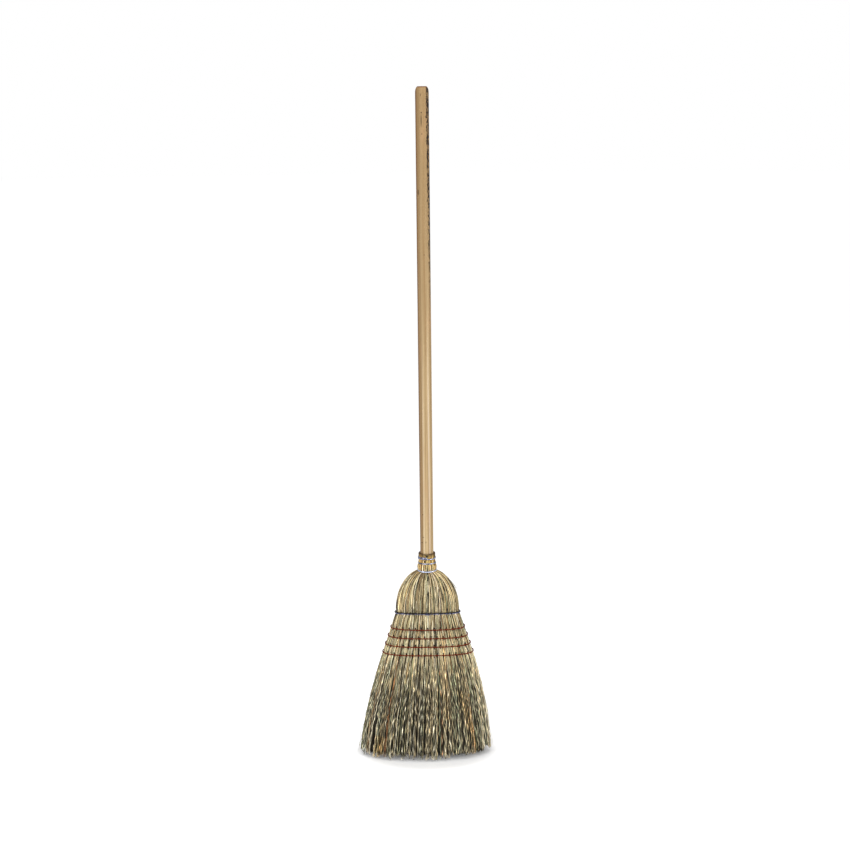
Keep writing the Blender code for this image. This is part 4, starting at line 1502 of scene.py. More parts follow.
    def fibre_set(self, kind: FibreSet) -> Tubes:
        """Fine wavy fibres in clumps that wander, cross and open gaps down to the ragged tips.

        Args:
            kind: The set.

        Returns:
            The fibres as tubes.
        """
        shape, chance, fibre, look = self.course.shape, self.chance, self.fibre, self.fibre_shade
        clumps = self.clumps(kind)
        z, fall, loose = clumps.z, clumps.fall, clumps.loose
        owners, count = kind.owners, len(clumps.owner)
        wave = self.waves(kind, clumps)
        weave = self.weave(clumps)
        drift = clumps.each(chance.normal(0, kind.lean, owners)) * fall
        packing = 0.75 + 0.95 * fall**2
        far = kind.half_width * np.sqrt(chance.random((count, 1))) * packing
        spin = chance.uniform(0, TURN, (count, 1)) + z * chance.normal(0, fibre.spin, (count, 1))
        crinkle = chance.normal(0, fibre.crinkle, z.shape) * loose
        aside = (wave + drift) * loose + far * np.cos(spin) + crinkle
        gathered = self.tips.gathering * np.sin(TURN * clumps.middle * (len(self.tufts) - 1))
        aside = aside - clumps.each(gathered) * fall**3
        aside = aside + chance.normal(0, fibre.spreading, (count, 1)) * fall**4
        width = self.width_at(z)
        shares = clumps.middle[clumps.owner][:, None] + aside / width
        if kind.layer < 2:
            shares = self.parted(shares, z, width)
        cover = shape.thickness(z) * (0.30 + (1 - 0.30) * fall)
        rising = ease(1 - (clumps.top[:, None] - z) / fibre.top_length)
        behind = far * (1 + np.sin(spin))
        inset = fibre.inset + clumps.level[:, None] * cover + behind + fibre.top_depth * rising
        # Painted shade: the layers beneath the outer clumps and the fibres deeper in a clump are darker,
        # and near the tips the shade is lifted.
        shade = look.layers[kind.layer] * np.exp(-behind / look.depth)
        shade = shade + np.maximum(look.tip - shade, 0) * ease(1 - z / look.tip_length)
        if kind.layer == 0:
            # Painted glint along each outer clump, and painted shade where it dips under its neighbours.
            turn = clumps.each(chance.uniform(0, TURN, owners))
            lengths = clumps.each(chance.uniform(*look.glint_lengths, owners))
            glint = look.glint * loose * np.sin(TURN * z / lengths + turn)
            shade = shade * np.exp(-weave / look.weave_depth + glint)
            proud = clumps.each(np.abs(chance.normal(0, kind.proud, owners)))
            inset = inset + weave - proud * fall**1.3
        points = self.flared(self.course.place(shares, z, inset), z)
        radius = fibre.radius + (fibre.tip_radius - fibre.radius) * clumps.way
        radius = radius * np.exp(chance.normal(0, 0.22, (count, 1)))
        tone = self.fibre_tone(kind, clumps, points, shade)
        return Tubes.along(points, self.sideways(shares, z, inset), radius, radius, 3, tone)

    def stray_fibres(self) -> Tubes:
        """Single fibres that stand away from the sweep.

        Returns:
            The fibres as tubes.
        """
        way = np.linspace(0, 1, self.straw.stations)
        rows = [(stray.top, stray.end, stray.share, stray.out) for stray in self.strays]
        top, end, share, out = (np.array(values)[:, None] for values in zip(*rows))
        z = top + (end - top) * way
        bow = self.chance.normal(0, 0.0004, z.shape)
        inset = 0.0020 - (out + 0.0020) * ease(way * 1.15) + bow
        shares = share * np.ones_like(z)
        points = self.course.place(shares, z, inset)
        radius = np.full_like(z, self.stray_radius)
        tone = FIBRE_MIX.pick(len(z), np.zeros(len(z)), self.chance)[:, None, :] * self.stray_light
        tone = tone * np.ones((1, len(way), 1))
        return Tubes.along(points, self.sideways(shares, z, inset), radius, radius, 3, tone)

    def fibres(self) -> list[Tubes]:
        """All fibres of the bunch: outer clumps, single ones across them, and ones beneath that are darker
        by painted shade.

        Returns:
            The sets, from the outside in.
        """
        fibre, inner_layers = self.fibre, len(self.fibre_shade.layers) - 1
        counting_height = 0.08
        width = float(self.course.width(np.array([counting_height]))[0])
        owners = max(3, int(round(width / fibre.clump_pitch)))
        kinds = [
            FibreSet(0, owners, fibre.clump_fibres, fibre.outer_stations, (0.0, 0.05),
                     fibre.clump_half_width, fibre.outer_lean, fibre.proud),
            FibreSet(0, int(owners * 0.3), 1, fibre.outer_stations, (0.0, 0.02),
                     fibre.single_half_width, fibre.single_lean, fibre.single_proud),
        ]
        for layer in range(1, inner_layers + 1):
            near = fibre.inner_depth + (1 - fibre.inner_depth) * (layer - 1) / inner_layers
            count = owners if layer == 1 else int(owners * 1.5)
            stations = fibre.outer_stations if layer == 1 else fibre.inner_stations
            depth = near, near + fibre.inner_depth
            half_width = fibre.clump_half_width * 1.3
            kinds.append(FibreSet(layer, count, fibre.clump_fibres, stations, depth, half_width,
                                  fibre.inner_lean))
        return [self.fibre_set(kind) for kind in kinds]

    def heart(self) -> Tubes:
        """A shell under the stems, painted dark as the shade of the deep straw, closed all round and
        thinner towards its lower end.

        Returns:
            The heart as one tube.
        """
        shape = self.course.shape
        z = np.concatenate([
            np.linspace(shape.rim - 0.0012, shape.lower_wire, 9),
            shape.lower_wire - shape.dome_height * np.linspace(0.02, 1, 16) ** 1.6,
            np.linspace(shape.shoulder - 0.01, self.heart_end, 14),
        ])
        share = np.linspace(0.0, 1.0, 9)
        thick = shape.thickness(z)
        closing = ease((0.19 - z) / (0.19 - self.heart_end))
        outer_inset = np.minimum(thick * 0.52, 0.0032)
        outer_inset = outer_inset + (thick * 0.6 - outer_inset) * closing
        inner_inset = thick - thick * 0.3 * closing
        outer = self.course.place(share[None, :], z[:, None], outer_inset[:, None])
        inner = self.course.place(share[None, :], z[:, None], inner_inset[:, None])
        ring = np.concatenate([outer, inner[:, ::-1]], axis=1)[:, ::-1]
        return Tubes(ring[None], np.zeros((1, len(z), 3)) + HEART_SHADE, 1)

    def build(self, finishes: Finishes) -> None:
        """Makes the bunch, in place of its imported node."""
        sets = [self.stalks(), self.thin_straws(), *self.fibres(), self.heart()]
        if self.strays:
            sets.append(self.stray_fibres())
        settle(tube_object(f"{self.node}_straw", sets, finishes), self.node)


@dataclass
class HiddenBundle:
    """Inner stalks or a shoulder: a heart down to the sweep and fibres that fill it, both painted dark as
    shade, the fibres lighter towards their tips.
    """

    node: str
    shape: HeadShape
    low_side: float
    high_side: float
    top: float
    seed: int
    count: int = 1300
    stations: int = 9
    inner_radius: float = 0.0160
    narrow_height: float = 0.37
    clearance: float = 0.0012
    corners: int = 28
    corner_curve: float = 0.55
    heart_end: float = 0.11
    tops: Pair = (0.12, 0.16)
    least_tip: float = 0.0050
    tip_spread: float = 0.004
    unevenness: float = 0.0011
    fibre_radius: float = 0.00062
    dark: float = 0.08
    tip_light: float = 0.40
    tip_length: float = 0.018

    def section(self, z: float) -> Array:
        """The bundle's outline at one height, clockwise seen from above.

        Args:
            z: The height.

        Returns:
            The outline's points.
        """
        width, depth, exponent = (float(value) for value in self.shape.size(np.array(z)))
        thick = float(self.shape.thickness(np.array(z))) + self.clearance
        width, depth = width - thick, depth - thick
        turn = np.linspace(0, TURN, self.corners, endpoint=False)[::-1]
        if self.low_side < 0 < self.high_side and z > self.narrow_height:
            radius = min(self.inner_radius, width)
            x, y = radius * np.cos(turn), radius * np.sin(turn)
        else:
            low, high = (width * side for side in (self.low_side, self.high_side))
            across, along = oval(turn, 1.0, 1.0, 2 / self.corner_curve)
            x = (low + high) / 2 + (high - low) / 2 * across
            edge = (1 - np.minimum(np.abs(x / width), 1) ** exponent) ** (1 / exponent)
            y = depth * edge * along
        return np.stack([x, y, np.full(self.corners, z)], axis=-1)

    def heart(self) -> Tubes:
        """The closed body of the bundle, down to the upper sweep, painted dark as shade."""
        heights = np.linspace(self.top, self.heart_end, 22)
        rings = np.stack([self.section(z) for z in heights])[None]
        return Tubes(rings, np.zeros((1, len(heights), 3)) + HEART_SHADE, 1)

    def fibres(self) -> Tubes:
        """Fibres through the whole depth of the sweep.

        Returns:
            The fibres as tubes.
        """
        chance = np.random.default_rng(self.seed)
        span = self.high_side - self.low_side
        across = self.low_side + span * chance.random(self.count)
        exponent = self.shape.flat_exponent
        deep = chance.uniform(-1, 1, self.count) * (1 - np.abs(across) ** exponent) ** (1 / exponent)
        top = chance.uniform(*self.tops, self.count)
        tip = self.least_tip + np.abs(chance.normal(0, self.tip_spread, self.count))
        z = top[:, None] + (tip - top)[:, None] * np.linspace(0, 1, self.stations)
        width, depth, _ = self.shape.size(z)
        thick = self.shape.thickness(z)
        x = across[:, None] * (width - thick) + chance.normal(0, self.unevenness, z.shape)
        y = deep[:, None] * (depth - thick) + chance.normal(0, self.unevenness, z.shape)
        points = np.stack([x, y, z], axis=-1)
        radius = np.full(z.shape, self.fibre_radius) * np.exp(chance.normal(0, 0.2, (self.count, 1)))
        tone = FIBRE_MIX.pick(self.count, np.zeros(self.count), chance)[:, None, :]
        # Painted shade: the fibres inside are painted dark, and lighter towards their tips.
        light = self.dark + self.tip_light * ease(1 - z / self.tip_length)
        tone = tone * light[..., None]
        side = np.zeros_like(points) + np.array([1.0, 0.0, 0.0])
        return Tubes.along(points, side, radius, radius, 3, tone)

    def build(self, finishes: Finishes) -> None:
        """Makes the bundle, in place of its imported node."""
        sets = [self.fibres(), self.heart()]
        settle(tube_object(f"{self.node}_straw", sets, finishes), self.node)


def drawn_tube(
    name: str, lines: list[Array], radius: float, closed: bool, sides: int,
    tapers: list[Array] | None = None,
) -> Object:
    """Wires or twine: bevelled curves made one mesh.

    Args:
        name: The piece's name.
        lines: The points of each centre line.
        radius: The tube's radius.
        closed: Whether each line closes on itself.
        sides: Half the corners of the round section, less one.
        tapers: For each line, its radius at each point as a share of the full one.

    Returns:
        The mesh object, selected and active.
    """
    curve = bpy.data.curves.new(name, "CURVE")
    curve.dimensions = "3D"
    curve.bevel_depth = radius
    curve.bevel_resolution = sides
    curve.use_fill_caps = True
    for number, line in enumerate(lines):
        spline = curve.splines.new("POLY")
        spline.points.add(len(line) - 1)
        spline.points.foreach_set("co", np.concatenate([line, np.ones((len(line), 1))], axis=1).reshape(-1))
        if tapers:
            spline.points.foreach_set("radius", tapers[number])
        spline.use_cyclic_u = closed
    piece = bpy.data.objects.new(name, curve)
    bpy.context.scene.collection.objects.link(piece)
    deselect()
    piece.select_set(True)
    bpy.context.view_layer.objects.active = piece
    bpy.ops.object.convert(target="MESH")
    piece = active()
    bpy.ops.object.mode_set(mode="EDIT")
    bpy.ops.mesh.select_all(action="SELECT")
    bpy.ops.mesh.remove_doubles(threshold=0.00002)
    bpy.ops.mesh.normals_make_consistent(inside=False)
    bpy.ops.object.mode_set(mode="OBJECT")
    bpy.ops.object.shade_smooth()
    return piece


def joined(pieces: list[Object], name: str) -> Object:
    """Joins pieces into the first one and names it."""
    deselect()
    for piece in pieces:
        piece.select_set(True)
    bpy.context.view_layer.objects.active = pieces[0]
    bpy.ops.object.join()
    pieces[0].name = pieces[0].data.name = name
    return pieces[0]


def mark_wear_and_painted_light(piece: Object, wear: Array) -> None:
    """Writes a wire's wear attribute, one value for each vertex: wear, and on the neck and shoulder wires
    painted light as well.
    """
    layer = piece.data.attributes.new("wear", "FLOAT", "POINT")
    layer.data.foreach_set("value", wear.astype(np.float32))


def vertices_of(piece: Object) -> Array:
    """The piece's vertices as rows of x, y and z."""
    places = np.zeros(len(piece.data.vertices) * 3, np.float32)
    piece.data.vertices.foreach_get("co", places)
    return places.reshape(-1, 3).astype(float)


@dataclass
class TwineRow:
    """One row of sewing: two-ply twine round the head, tied down by a stitch at every pitch."""

    number: int
    shape: HeadShape
    band_radius: float = 0.00107
    ply_radius: float = 0.00076
    ply_offset: float = 0.00053
    twist: float = 0.0058
    points_per_twist: int = 8
    stitch_rise: float = 0.0004
    stitch_dip: float = 0.0005
    stitch_reach: float = 0.0019
    face_depth: float = 0.012
    slack: float = 1.03
    loop_radius: float = 0.00050
    loop_line: tuple[Triple, ...] = ((0.0006, 0.0026, 0.0016), (0.0005, 0.0019, 0.0))
    loop_side: Pair = (0.0003, 0.0011)
    hole_radius: float = 0.0015
    hole_above: tuple[Triple, ...] = (
        (0.0, 0.0056, 0.0022), (0.0, 0.0042, 0.0009), (0.0, 0.0028, 0.0007), (0.0, 0.0014, 0.0008))
    hole_below: tuple[Triple, ...] = (
        (0.0, -0.0014, 0.0012), (0.0, -0.0030, 0.0012), (0.0, -0.0046, 0.0014), (0.0, -0.0064, 0.0024))
    sizes_above: tuple[float, ...] = (0.3, 0.9, 1.0, 0.7)
    sizes_below: tuple[float, ...] = (0.7, 0.75, 0.55, 0.25)

    @property
    def height(self) -> float:
        """The row's height."""
        return self.shape.row_heights[self.number - 1]

    def band(self) -> Array:
        """The band's centre line, drawn in and lifted a little at each stitch.

        Returns:
            The line's points.
        """
        reach = (self.band_radius + 2 * self.shape.fit_gap) * self.slack
        rough = self.shape.ring(self.height, reach, 400)
        round_length = np.linalg.norm(np.roll(rough, -1, axis=0) - rough, axis=1).sum()
        count = int(round_length / self.twist) * self.points_per_twist
        line = self.shape.ring(self.height, reach, count)
        near = np.zeros(count)
        for x in self.shape.stitch_places(self.height):
            on_face = np.abs(line[:, 1]) > self.face_depth
            near = np.maximum(near, bell((line[:, 0] - x) / self.stitch_reach) * on_face)
        out = self.outward(line)
        line = line - out * (self.stitch_dip * near)[:, None]
        line[:, 2] += self.stitch_rise * (near - 0.4)
        return line

    @staticmethod
    def outward(line: Array) -> Array:
        """Unit normals in plan of a closed line that runs anticlockwise."""
        run = np.roll(line, -1, axis=0) - np.roll(line, 1, axis=0)
        out = np.stack([run[:, 1], -run[:, 0], np.zeros(len(run))], axis=-1)
        return out / np.linalg.norm(out, axis=1, keepdims=True)

    def plies(self) -> list[Array]:
        """The two plies, twisted round the band's centre line.

        Returns:
            Their centre lines.
        """
        line = self.band()
        out = self.outward(line)
        turn = TURN * np.arange(len(line)) / self.points_per_twist
        plies = []
        for start in (0, math.pi):
            side = out * np.cos(turn + start)[:, None]
            rise = np.array([0, 0, 1.0]) * np.sin(turn + start)[:, None]
            plies.append(line + (side + rise) * self.ply_offset)
        return plies

    def surface_y(self, x: float, z: float, inset: float) -> float:
        """The straw's y on the back at a place, a little under the surface."""
        width, depth, exponent = (float(value) for value in self.shape.size(np.array(z)))
        swell = float(self.shape.swell(np.array(z)))
        share = min(abs(x) / (width + swell), 1)
        return (depth + swell) * (1 - share**exponent) ** (1 / exponent) - inset

    def on_faces(self, x: float, stations: list[tuple[float, float, float]]) -> list[Array]:
        """A short line across the row on the front and on the back.

        Args:
            x: The stitch's place.
            stations: Sideways offset, rise and depth under the surface of each point.

        Returns:
            The front line and the back line.
        """
        points = []
        for aside, rise, inset in stations:
            y = self.surface_y(x + aside, self.height + rise, inset)
            points.append((x + aside, -y, self.height + rise))
        line = np.array(points)
        return [line, line * HALF_ROUND]

    def stitches(self) -> list[Array]:
        """The loops of twine that tie the band down.

        Returns:
            Their centre lines.
        """
        over = -(2 * self.band_radius + self.loop_radius)
        half = [*self.loop_line, (*self.loop_side, over * 0.8)]
        upper = [(-aside, rise, inset) for aside, rise, inset in half]
        lower = [(aside, -rise, inset) for aside, rise, inset in reversed(half)]
        stations = [*upper, (0.0, 0.0, over), *lower]
        lines = []
        for x in self.shape.stitch_places(self.height):
            lines += self.on_faces(x, stations)
        return lines

    def holes(self) -> Object:
        """Painted shade where the needle parted the straw: small dark tubes above and below each stitch."""
        above, below = (self.hole_above, self.sizes_above), (self.hole_below, self.sizes_below)
        lines, tapers = [], []
        for x in self.shape.stitch_places(self.height):
            for stations, sizes in (above, below):
                lines += self.on_faces(x, stations)
                tapers += [np.array(sizes)] * 2
        return drawn_tube(f"needle_hole_shades_{self.number}", lines, self.hole_radius, False, 1, tapers)

    def build(self, finishes: Finishes) -> None:
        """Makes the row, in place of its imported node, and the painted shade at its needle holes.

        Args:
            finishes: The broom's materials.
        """
        band = drawn_tube(f"twine_plies_{self.number}", self.plies(), self.ply_radius, True, 1)
        loops = drawn_tube(f"twine_loops_{self.number}", self.stitches(), self.loop_radius, False, 1)
        piece = joined([band, loops], f"sewing_twine_{self.number}")
        dress(piece, finishes.twine)
        settle(piece, f"stitch_twine_{self.number}")
        holes = self.holes()
        dress(holes, finishes.hole)
        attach(holes, "root")


@dataclass
class NeckWire:
    """Galvanised wire: three turns with climbs behind, ending at the front tack."""

    shape: HeadShape
    radius: float = 0.0013
    turns: float = 3.5
    points_per_turn: int = 64
    climb_turns: float = 0.32
    saddle: float = 0.0010
    last_rise: float = 0.0032
    lowest_turn_highlight: float = 0.85
    high_wear: float = 0.42

    @staticmethod
    def climb(turn: Array, start: float, end: float) -> Array:
        """A soft rise from 0 to 1 between two counts of turns."""
        return ease((turn - start) / (end - start))

    def path(self) -> Array:
        """The wire's centre line on the collar.

        Returns:
            The line's points.
        """
        shape, half = self.shape, self.climb_turns / 2
        turn = np.linspace(0, self.turns, int(self.turns * self.points_per_turn) + 1)
        angle = math.pi / 2 + TURN * turn
        first = self.climb(turn, 1 - half, 1 + half)
        z = shape.lower_wire + shape.lower_to_middle_wire * first
        z = z + shape.middle_to_upper_wire * self.climb(turn, 2 - half, 2 + half)
        z = z + self.last_rise * self.climb(turn, self.turns - 1, self.turns - 1 / 3)
        z = z + self.saddle * np.cos(2 * angle) * (1 - first)
        rise = np.linspace(-1, 1, 9)[:, None] * self.radius * 0.9
        width, depth, exponent = shape.size(z + rise)
        room = np.sqrt(self.radius**2 - rise**2)
        cap = shape.neck_radius + shape.collar_bulge
        half_width = np.minimum(np.max(width + room, axis=0), cap + self.radius)
        half_depth = np.max(depth + room, axis=0)
        return np.stack([half_width * np.cos(angle), half_depth * np.sin(angle), z], axis=-1)

    def build(self, finishes: Finishes) -> None:
        """Makes the wire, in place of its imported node."""
        piece = drawn_tube("neck_binding_wire", [self.path()], self.radius, False, 3)
        # Painted highlight: the lowest turn is made brighter than the turns above it.
        lowest = vertices_of(piece)[:, 2] < self.shape.lower_wire + 0.003
        mark_wear_and_painted_light(piece, np.where(lowest, self.lowest_turn_highlight, self.high_wear))
        dress(piece, finishes.galvanised)
        settle(piece, "neck_wire")


@dataclass
class InnerWire:
    """The hidden turns round the inner stalks."""

    radius: float = 0.0006
    turns: int = 3
    reach: float = 0.0168
    wear: float = 0.4

    def build(self, finishes: Finishes) -> None:
        """Makes the wire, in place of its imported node.

        Args:
            finishes: The broom's materials.
        """
        low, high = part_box("inner_wire")
        turn = np.linspace(0, self.turns, self.turns * 32 + 1)
        angle = math.pi / 2 + TURN * turn
        z = high.z - self.radius - (high.z - low.z - 2 * self.radius) * turn / self.turns
        line = np.stack([self.reach * np.cos(angle), self.reach * np.sin(angle), z], axis=-1)
        piece = drawn_tube("inner_binding_wire", [line], self.radius, False, 2)
        mark_wear_and_painted_light(piece, np.full(len(piece.data.vertices), self.wear))
        dress(piece, finishes.galvanised)
        settle(piece, "inner_wire")


@dataclass
class ShoulderWire:
    """Wire round the shoulder, whose ends are twisted together in front, painted near black above and light
    below as a reflection.
    """

    shape: HeadShape
    radius: float = 0.0018
    twist_half: float = 0.0046
    twist_turns: float = 2.5
    strand_offset: float = 0.0012
    strand_share: float = 0.85
    reflection_below: float = 0.0009
    reflection_blend: float = 0.0006

    def loop(self) -> Array:
        """The wire's closed centre line."""
        return self.shape.ring(self.shape.shoulder, self.radius + self.shape.fit_gap, 220)

    def twist(self) -> list[Array]:
        """Two ends wound round each other, with a short tail each.

        Returns:
            Their centre lines.
        """
        share = np.linspace(-1, 1, 41)
        depth = -(float(self.shape.size(np.array(self.shape.shoulder))[1]) + self.radius * 1.9)
        lines = []
        for start in (0, math.pi):
            turn = math.pi * self.twist_turns * share + start
            wide = self.strand_offset * (1 - 0.35 * share**2)
            x = self.twist_half * share
            y = depth + wide * np.cos(turn)
            z = self.shape.shoulder + wide * np.sin(turn)
            lines.append(np.stack([x, y, z], axis=-1))
        return lines

    def build(self, finishes: Finishes) -> None:
        """Makes the wire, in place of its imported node."""
        loop = drawn_tube("shoulder_loop", [self.loop()], self.radius, True, 3)
        twist = drawn_tube("shoulder_twist", self.twist(), self.radius * self.strand_share, False, 2)
        piece = joined([loop, twist], "shoulder_binding_wire")
        # Painted reflection: near black above the wire's middle and light lavender along its lower edge, as
        # a dark ceiling and the white floor would show in it.
        z = vertices_of(piece)[:, 2]
        above = z - self.shape.shoulder + self.reflection_below
        mark_wear_and_painted_light(piece, 1 - ease(above / self.reflection_blend))
        dress(piece, finishes.shoulder_wire_reflection)
        settle(piece, "shoulder_wire")


@dataclass
class Handle:
    """The turned stick: rounded top, straight body and a tapered end in the head."""

    radius: float = HANDLE_RADIUS
    top: float = HANDLE_TOP
    tip: float = 0.3406
    taper_length: float = 0.045
    tip_radius: float = 0.009
    rounding: float = 0.006
    rounding_height: float = 0.0125
    rounding_steps: int = 9
    lowest_ring: float = 0.47
    highest_ring: float = 1.43
    rings: int = 25
    sides: int = 96
    slack: float = 0.00002

    def narrow(self, piece: Object, low: float, high: float, share: float) -> None:
        """Narrows the rings of an object in edit mode that lie between two heights."""
        bpy.ops.mesh.select_all(action="DESELECT")
        bpy.ops.object.mode_set(mode="OBJECT")
        for vertex in piece.data.vertices:
            vertex.select = bool(low - self.slack < vertex.co.z < high + self.slack)
        bpy.ops.object.mode_set(mode="EDIT")
        bpy.ops.transform.resize(value=(share, share, 1), center_override=(0, 0, low))

    def build(self, finishes: Finishes) -> None:
        """Makes the handle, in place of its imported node.

        Args:
            finishes: The broom's materials.
        """
        deselect()
        length = self.top - self.tip
        bpy.ops.mesh.primitive_cylinder_add(
            vertices=self.sides, radius=self.radius, depth=length,
            location=(0, 0, (self.top + self.tip) / 2),
        )
        bpy.ops.object.transform_apply(location=True, rotation=True, scale=True)
        piece = active()
        piece.name = piece.data.name = "turned_handle"
        bpy.ops.object.mode_set(mode="EDIT")
        bpy.context.tool_settings.mesh_select_mode = (True, False, False)
        turns = np.linspace(0, math.pi / 2, self.rounding_steps + 1)
        rounded = self.top - self.rounding_height * (1 - np.sin(turns))
        body = np.linspace(self.lowest_ring, self.highest_ring, self.rings)
        for height in (self.tip + self.taper_length, *body, *rounded[:-1]):
            bpy.ops.mesh.select_all(action="SELECT")
            bpy.ops.mesh.bisect(plane_co=(0, 0, height), plane_no=(0, 0, 1))
        radii = self.radius - self.rounding * (1 - np.cos(turns))
        for height, share in zip(rounded[1:], radii[1:] / radii[:-1]):
            self.narrow(piece, height, self.top, share)
        self.narrow(piece, self.tip, self.tip, self.tip_radius / self.radius)
        bpy.ops.object.mode_set(mode="OBJECT")
        bpy.ops.object.shade_smooth_by_angle(angle=math.radians(40))
        dress(piece, finishes.wood)
        settle(piece, "handle")


@dataclass
class Tack:
    """A small domed tack in the collar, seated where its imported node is."""

    node: str
    head_radius: float = 0.0020
    head_height: float = 0.0009
    shank_radius: float = 0.0006
    point_radius: float = 0.00018
    length: float = 0.0115

    def build(self, finishes: Finishes) -> None:
        """Makes the tack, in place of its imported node.

        Args:
            finishes: The broom's materials.
        """
        low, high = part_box(self.node)
        middle = (low + high) / 2
        angle = math.atan2(middle.y, middle.x)
        outward = Vector((math.cos(angle), math.sin(angle), 0))
        reach = max(vertex.co.dot(outward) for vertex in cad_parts[self.node].data.vertices)
        seat = outward * (reach - self.head_height / 2)
        deselect()
        turn = outward.to_track_quat("Z", "Y").to_euler()
        bpy.ops.mesh.primitive_uv_sphere_add(
            segments=20, ring_count=10, radius=self.head_radius,
            location=(seat.x, seat.y, middle.z), rotation=turn,
            scale=(1, 1, self.head_height / self.head_radius),
        )
        head = active()
        bpy.ops.object.transform_apply(location=True, rotation=True, scale=True)
        bpy.ops.object.shade_smooth()
        centre = outward * (reach - self.length / 2)
        deselect()
        bpy.ops.mesh.primitive_cone_add(
            vertices=10, radius1=self.point_radius, radius2=self.shank_radius, depth=self.length,
            location=(centre.x, centre.y, middle.z), rotation=turn,
        )
        shank = active()
        bpy.ops.object.transform_apply(location=True, rotation=True, scale=True)
        piece = joined([head, shank], f"{self.node}_steel")
        dress(piece, finishes.tack)
        settle(piece, self.node)


@dataclass(frozen=True)
class Softbox:
    """A soft rectangular lamp: where it stands, the height on the broom it aims at, size and watts."""

    name: str
    place: Triple
    aim_height: float
    size: Pair
    power: float

    def build(self) -> None:
        """Hangs the lamp."""
        light = bpy.data.lights.new(self.name, "AREA")
        light.shape = "RECTANGLE"
        light.size, light.size_y = self.size
        light.energy = self.power
        lamp = bpy.data.objects.new(self.name, light)
        lamp.location = self.place
        look = Vector((0, 0, self.aim_height)) - Vector(self.place)
        lamp.rotation_euler = look.to_track_quat("-Z", "Y").to_euler()
        bpy.context.scene.collection.objects.link(lamp)


SOFTBOXES = (
    Softbox("key_softbox", (1.95, -1.55, 0.75), 0.65, (0.45, 1.2), 23),
    Softbox("fill_softbox", (-1.7, -1.9, 0.75), 0.6, (0.45, 1.2), 22),
    Softbox("top_softbox", (0.3, -1.0, 2.8), 0.3, (1.8, 1.4), 27),
)


@dataclass
class Studio:
    """Pale floor, white surroundings, soft lamps and the camera at the photograph's angle."""

    camera_height: float = 1.439
    camera_distance: float = 4.0
    camera_aside: float = -0.0011
    pitch: float = math.radians(10)
    roll: float = math.radians(-0.63)
    lens: float = 80.1
    ambient: float = 0.50
    floor_shadow: float = 0.90
    floor_reach: float = 30.0
    near_glow: float = 0.10
    far_glow: float = 0.56
    painted_shadow_range: Pair = (0.094, 0.152)
    painted_shadow_oval: Triple = (0.8, 1.0, 0.0)

    def floor(self) -> None:
        """A wide pale floor whose unshaded part shows white and which keeps soft shadows; its glow is
        weaker in an oval round the broom, which paints the floor darker there.
        """
        deselect()
        bpy.ops.mesh.primitive_circle_add(vertices=96, radius=self.floor_reach, fill_type="NGON")
        floor = active()
        floor.name = floor.data.name = "studio_floor"
        recipe = Recipe("studio_floor")
        grain = recipe.noise((90.0, 90.0, 90.0), 3)
        colour = recipe.mix(recipe.span(grain, 0.3, 0.7), srgb(232, 234, 238), srgb(236, 237, 240))
        recipe.finish(Base_Color=colour, Roughness=0.95, Specular_IOR_Level=0.0)
        path = recipe.node("ShaderNodeLightPath").outputs["Is Camera Ray"]
        shadow = recipe.node("ShaderNodeBsdfDiffuse", {"Color": (self.floor_shadow,) * 3 + (1.0,)})
        where = recipe.node("ShaderNodeTexCoord").outputs["Object"]
        flat = recipe.node("ShaderNodeVectorMath", {0: where, 1: self.painted_shadow_oval}, operation="MULTIPLY")
        far = recipe.node("ShaderNodeVectorMath", {0: flat.outputs[0]}, operation="LENGTH").outputs["Value"]
        # Painted shadow: the glow is weaker in an oval round the broom, so the floor there shows darker.
        strength = recipe.span(far, *self.painted_shadow_range, self.near_glow, self.far_glow)
        glow = recipe.node("ShaderNodeEmission", {"Color": (1, 1, 1, 1), "Strength": strength})
        both = recipe.node("ShaderNodeAddShader", {0: shadow.outputs[0], 1: glow.outputs[0]})
        shaders = {0: path, 1: recipe.shader.outputs[0], 2: both.outputs[0]}
        seen = recipe.node("ShaderNodeMixShader", shaders)
        recipe.set(recipe.output.inputs["Surface"], seen.outputs[0])
        floor.data.materials.append(recipe.material)

    def world(self) -> None:
        """White to the camera and in reflections, and a softer light on the object."""
        world = bpy.data.worlds.new("studio_surroundings")
        bpy.context.scene.world = world
        world.use_nodes = True
        tree = world.node_tree
        background = tree.nodes["Background"]
        background.inputs["Color"].default_value = (1, 1, 1, 1)
        path = tree.nodes.new("ShaderNodeLightPath")
        mix = tree.nodes.new("ShaderNodeMath")
        mix.operation = "MAXIMUM"
        tree.links.new(path.outputs["Is Camera Ray"], mix.inputs[0])
        tree.links.new(path.outputs["Is Glossy Ray"], mix.inputs[1])
        strength = tree.nodes.new("ShaderNodeMapRange")
        tree.links.new(mix.outputs[0], strength.inputs["Value"])
        strength.inputs["To Min"].default_value = self.ambient
        strength.inputs["To Max"].default_value = 1.0
        tree.links.new(strength.outputs["Result"], background.inputs["Strength"])

    def camera(self) -> None:
        """The camera, level with the handle's top and pitched down."""
        data = bpy.data.cameras.new("studio_camera")
        data.lens, data.sensor_width, data.sensor_fit = self.lens, 36.0, "HORIZONTAL"
        camera = bpy.data.objects.new("studio_camera", data)
        camera.location = (self.camera_aside, -self.camera_distance, self.camera_height)
        camera.rotation_mode = "XYZ"
        look = Vector((0, math.cos(self.pitch), -math.sin(self.pitch)))
        camera.rotation_euler = look.to_track_quat("-Z", "Y").to_euler()
        camera.rotation_euler.rotate_axis("Z", self.roll)
        bpy.context.scene.collection.objects.link(camera)
        bpy.context.scene.camera = camera

    def build(self) -> None:
        """Sets the stage."""
        bpy.context.scene.view_settings.view_transform = "Standard"
        self.floor()
        self.world()
        for softbox in SOFTBOXES:
            softbox.build()
        self.camera()


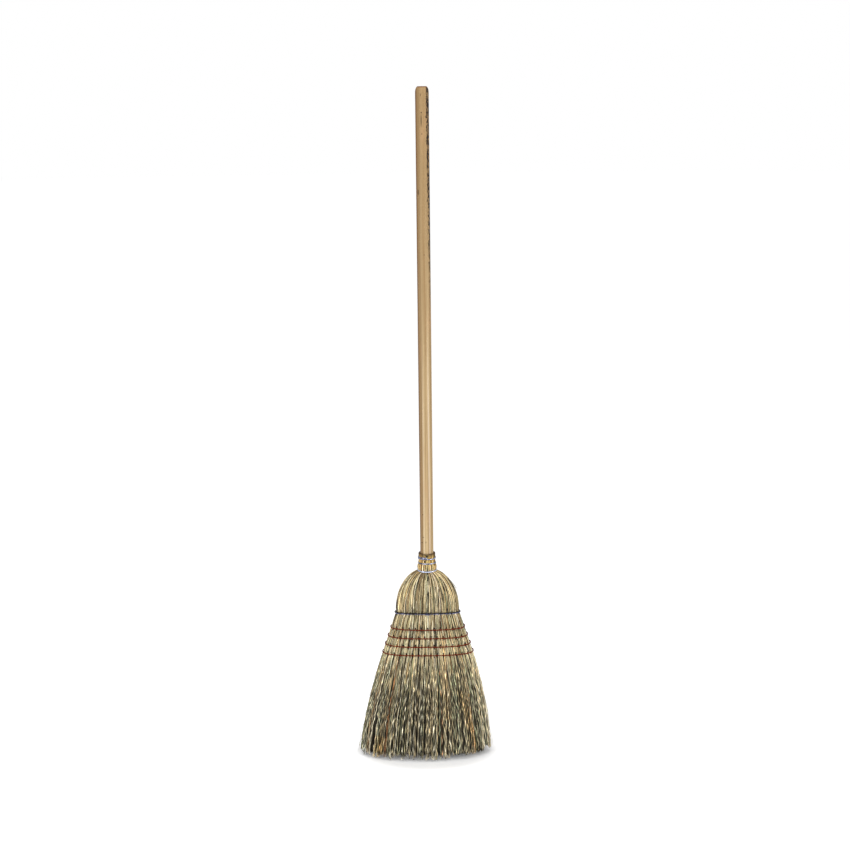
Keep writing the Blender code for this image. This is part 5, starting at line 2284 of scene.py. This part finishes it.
RIGHT_STRAYS = (
    Stray(0.125, 0.022, 0.44, 0.0052), Stray(0.075, 0.012, 0.60, 0.0040), Stray(0.180, 0.120, 0.50, 0.0030),
    Stray(0.400, 0.370, 0.42, 0.0034), Stray(0.396, 0.372, 0.36, 0.0026), Stray(0.150, 0.090, 0.35, 0.0026),
)
LEFT_STRAYS = (
    Stray(0.110, 0.062, 0.50, 0.0048), Stray(0.085, 0.034, 0.58, 0.0046), Stray(0.060, 0.012, 0.42, 0.0036),
    Stray(0.205, 0.150, 0.55, 0.0030), Stray(0.160, 0.110, 0.46, 0.0028), Stray(0.045, 0.004, 0.50, 0.0034),
)


def build_cover(shape: HeadShape, finishes: Finishes) -> None:
    """Builds the twelve bunches of cover stalks.

    Args:
        shape: The head's outline.
        finishes: The broom's materials.
    """
    count = 5
    edges = [FACE_SPREAD * (2 * i / count - 1) for i in range(count + 1)]
    faces = (("front", Face.FRONT, 20), ("back", Face.BACK, 40))
    for number, (start, end) in enumerate(zip(edges, edges[1:]), 1):
        for side, face, seed in faces:
            course = Course(shape, face, start, end)
            HurlBunch(f"{side}_hurl_{number}", course, seed + number).build(finishes)
    HurlBunch("side_hurl_right", Course(shape, Face.RIGHT), 31, RIGHT_STRAYS).build(finishes)
    HurlBunch("side_hurl_left", Course(shape, Face.LEFT), 32, LEFT_STRAYS).build(finishes)


def main() -> None:
    """Builds the broom and its stage."""
    logging.basicConfig(level=logging.INFO, format="%(name)s %(message)s")
    shape, finishes = HeadShape(), Finishes()
    Studio().build()
    Handle().build(finishes)
    build_cover(shape, finishes)
    HiddenBundle("inner_bundle", shape, -0.40, 0.40, shape.lower_wire + 0.006, 61, 1500).build(finishes)
    HiddenBundle("shoulder_bundle_right", shape, 0.44, 0.98, 0.385, 62).build(finishes)
    HiddenBundle("shoulder_bundle_left", shape, -0.98, -0.44, 0.385, 63).build(finishes)
    for number in range(1, shape.rows + 1):
        TwineRow(number, shape).build(finishes)
    NeckWire(shape).build(finishes)
    InnerWire().build(finishes)
    ShoulderWire(shape).build(finishes)
    for node in ("neck_tack_front", "neck_tack_lower", "neck_tack_rim"):
        Tack(node).build(finishes)


if __name__ == "__main__":
    main()
